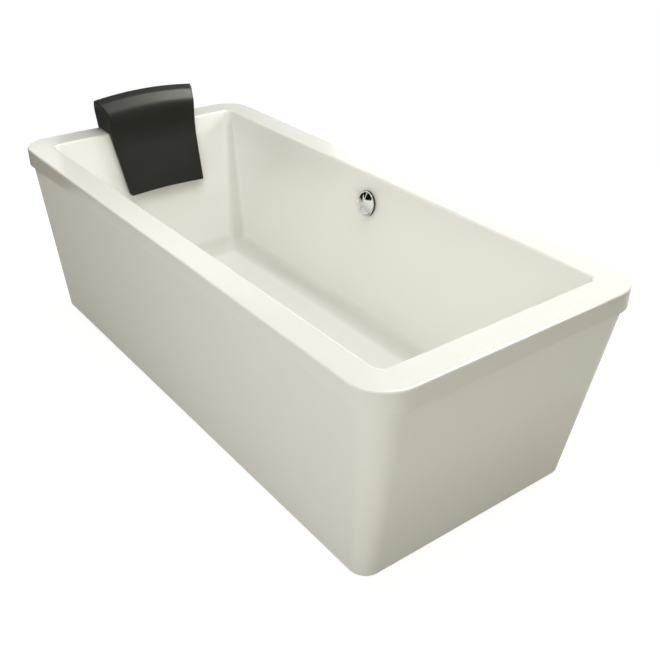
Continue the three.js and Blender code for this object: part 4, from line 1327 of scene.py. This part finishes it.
def studio_floor(graph):
    where = graph.here()
    distance = graph.add("ShaderNodeVectorMath", {"operation": "LENGTH"}, {0: where}, out=1)
    far = graph.between(distance, 1.4, 2.6)
    white = {"Color": (1, 1, 1, 1)}
    matt = graph.add("ShaderNodeBsdfDiffuse", {}, {"Color": (0.26, 0.26, 0.26, 1)})
    to_lens = graph.add("ShaderNodeEmission", {}, {**white, "Strength": 0.88})
    to_lens = graph.add("ShaderNodeAddShader", {}, {0: to_lens, 1: matt})
    to_lens = graph.add("ShaderNodeMixShader", {}, {
        0: far, 1: to_lens, 2: graph.add("ShaderNodeEmission", {}, {**white, "Strength": 1.0})})
    along = graph.add("ShaderNodeSeparateXYZ", {}, {0: where}, out="X")
    across = graph.add("ShaderNodeSeparateXYZ", {}, {0: where}, out="Y").maths("ABSOLUTE")
    beside = graph.between(across, 0.3, 0.7, 0.6, 1.0)
    beside = beside.maths("MAXIMUM", graph.between(along, 0.7, 1.0))
    ahead = graph.between(along, -2.6, -0.1, 0.5, 1.0) * graph.between(along, 1.15, 1.9, 1.0, 0.3)
    to_gloss = graph.add("ShaderNodeEmission", {}, {**white, "Strength": beside * ahead})
    direct = graph.add("ShaderNodeLightPath", out="Is Camera Ray")
    seen = graph.add("ShaderNodeMixShader", {}, {0: direct, 1: to_gloss, 2: to_lens})
    tone = graph.mix(graph.noise(3.0, 2.0), (0.36, 0.33, 0.25, 1), (0.38, 0.35, 0.27, 1))
    plain = graph.add("ShaderNodeBsdfDiffuse", {}, {"Color": tone})
    return graph.add("ShaderNodeMixShader", {}, {0: seen_directly(graph), 1: plain, 2: seen})


def flat_card(name, wide, high, made):
    """A rectangle in the plane z = 0, from -wide to wide and from -high to high."""
    corners = [(-wide, -high, 0), (wide, -high, 0), (wide, high, 0), (-wide, high, 0)]
    card = linked(name, bpy.data.meshes.new(name))
    card.data.from_pydata(corners, [], [(0, 1, 2, 3)])
    card.data.materials.append(made)
    return card


reach = 14.0
ground = flat_card("studio_floor", reach, reach, finish("studio_paper", studio_floor))
print("floor:", 2 * reach, "m square")

# %% World
world = bpy.data.worlds.new("studio_dome")
scene.world = world
world.use_nodes = True
dome = Graph(world.node_tree)
direction = dome.add("ShaderNodeTexCoord", out="Generated")
height = dome.add("ShaderNodeSeparateXYZ", {}, {0: direction}, out="Z")
stops = [
    (0.25, (0.0, 0.0, 0.0, 1)),
    (0.55, (0.71, 0.68, 0.44, 1)),
    (0.85, (0.0, 0.0, 0.0, 1)),
]
sky = dome.add("ShaderNodeValToRGB", {"stops": stops}, {"Fac": height})
soft = dome.add("ShaderNodeBackground", {}, {"Color": sky, "Strength": 1.0})
plain = dome.add("ShaderNodeBackground", {}, {"Color": (1, 1, 1, 1), "Strength": 1.0})
both = dome.add("ShaderNodeMixShader", {}, {0: seen_directly(dome), 1: soft, 2: plain})
dome.add("ShaderNodeOutputWorld", {}, {"Surface": both})
print("world:", world.name)

# %% [markdown]
# ## Lamps
#
# A wide soft box overhead brightens the rim and the floor of the basin. Others stand at the front
# corner, in front, behind and at the head end, and two lie just above the floor as reflectors would:
# with those, the long side is brightest in its middle and falls off towards the head. None of them
# shows in a reflection. What shows is arranged apart: two long strips above the far side draw the
# highlight on the pillow's shoulder, and black cards give the chrome cap and the pillow's flank
# something dark to mirror. Cards and strips reach only reflections, never the light on the tub.


# %% Soft boxes
def soft_box(name, place, target, size, power, colour=(1, 1, 1)):
    light = bpy.data.lights.new(name, "AREA")
    light.shape, light.size, light.size_y = "RECTANGLE", *size
    light.energy, light.color = power, colour
    lamp = linked(name, light)
    lamp.location = place
    lamp.rotation_euler = (Vector(target) - Vector(place)).to_track_quat("-Z", "Y").to_euler()
    return lamp


unseen = [
    soft_box("top_box", (0.1, 0.1, 3.2), (0, 0, 0.3), (2.6, 1.6), 52, (0.975, 1, 1)),
    soft_box("wall_box", (0, 3.2, 1.8), (0, 0, 0.35), (2.0, 1.2), 80),
    soft_box("foot_box", (1.9, -3.0, 1.6), (0.4, -0.1, 0.35), (1.2, 1.2), 24),
    soft_box("front_box", (0.5, -3.0, 2.4), (0.2, 0, 0.35), (1.6, 1.0), 4),
    soft_box("head_box", (-3.2, 0.3, 0.6), (-0.9, 0, 0.3), (1.4, 0.8), 24),
    soft_box("bounce_near", (0.7, -1.5, 0.03), (0.4, -0.5, 0.5), (1.6, 0.8), 6.5),
    soft_box("bounce_foot", (2.0, -0.2, 0.03), (0.9, -0.1, 0.4), (0.8, 0.9), 4.8),
]
for lamp in unseen:
    lamp.visible_glossy = lamp.visible_camera = False
strips = [
    soft_box("strip_low", (0.05, 0.9, 3.2), (0.05, 0.9, 0), (2.2, 1.1), 36, (0.98, 1, 0.9)),
    soft_box("strip_high", (0.05, 2.3, 3.2), (0.05, 2.3, 0), (2.2, 1.5), 235, (1, 0.98, 0.86)),
]
for lamp in strips:
    lamp.visible_diffuse = lamp.visible_camera = False
print("soft boxes:", len(unseen), "strips:", len(strips))


# %% Black cards
def black_card(graph):
    tone = graph.mix(graph.noise(4.0), paint("141414"), paint("1c1c1c"))
    return graph.add("ShaderNodeBsdfDiffuse", {}, {"Color": tone})


BLACK_CARD = finish("black_card", black_card)


def dark_flag(name, place, target, size):
    """A black card that only reflections see."""
    card = flat_card(name, size[0] / 2, size[1] / 2, BLACK_CARD)
    turn = (Vector(target) - Vector(place)).to_track_quat("Z", "Y")
    card.data.transform(Matrix.Translation(place) @ turn.to_matrix().to_4x4())
    card.visible_camera = card.visible_diffuse = card.visible_shadow = False


dark_flag("flag_left", (-1.9, -0.75, 0.7), (0, 0.3, 0.6), (1.0, 1.9))
dark_flag("flag_near", (-1.25, -1.7, 0.9), (0, 0.3, 0.6), (1.1, 1.6))
dark_flag("flag_back", (-2.1, 0.9, 1.0), (-0.8, 0.2, 0.6), (1.4, 1.1))
dark_flag("flag_high", (-2.4, 1.3, 3.2), (-0.8, 0, 0.6), (1.7, 1.7))
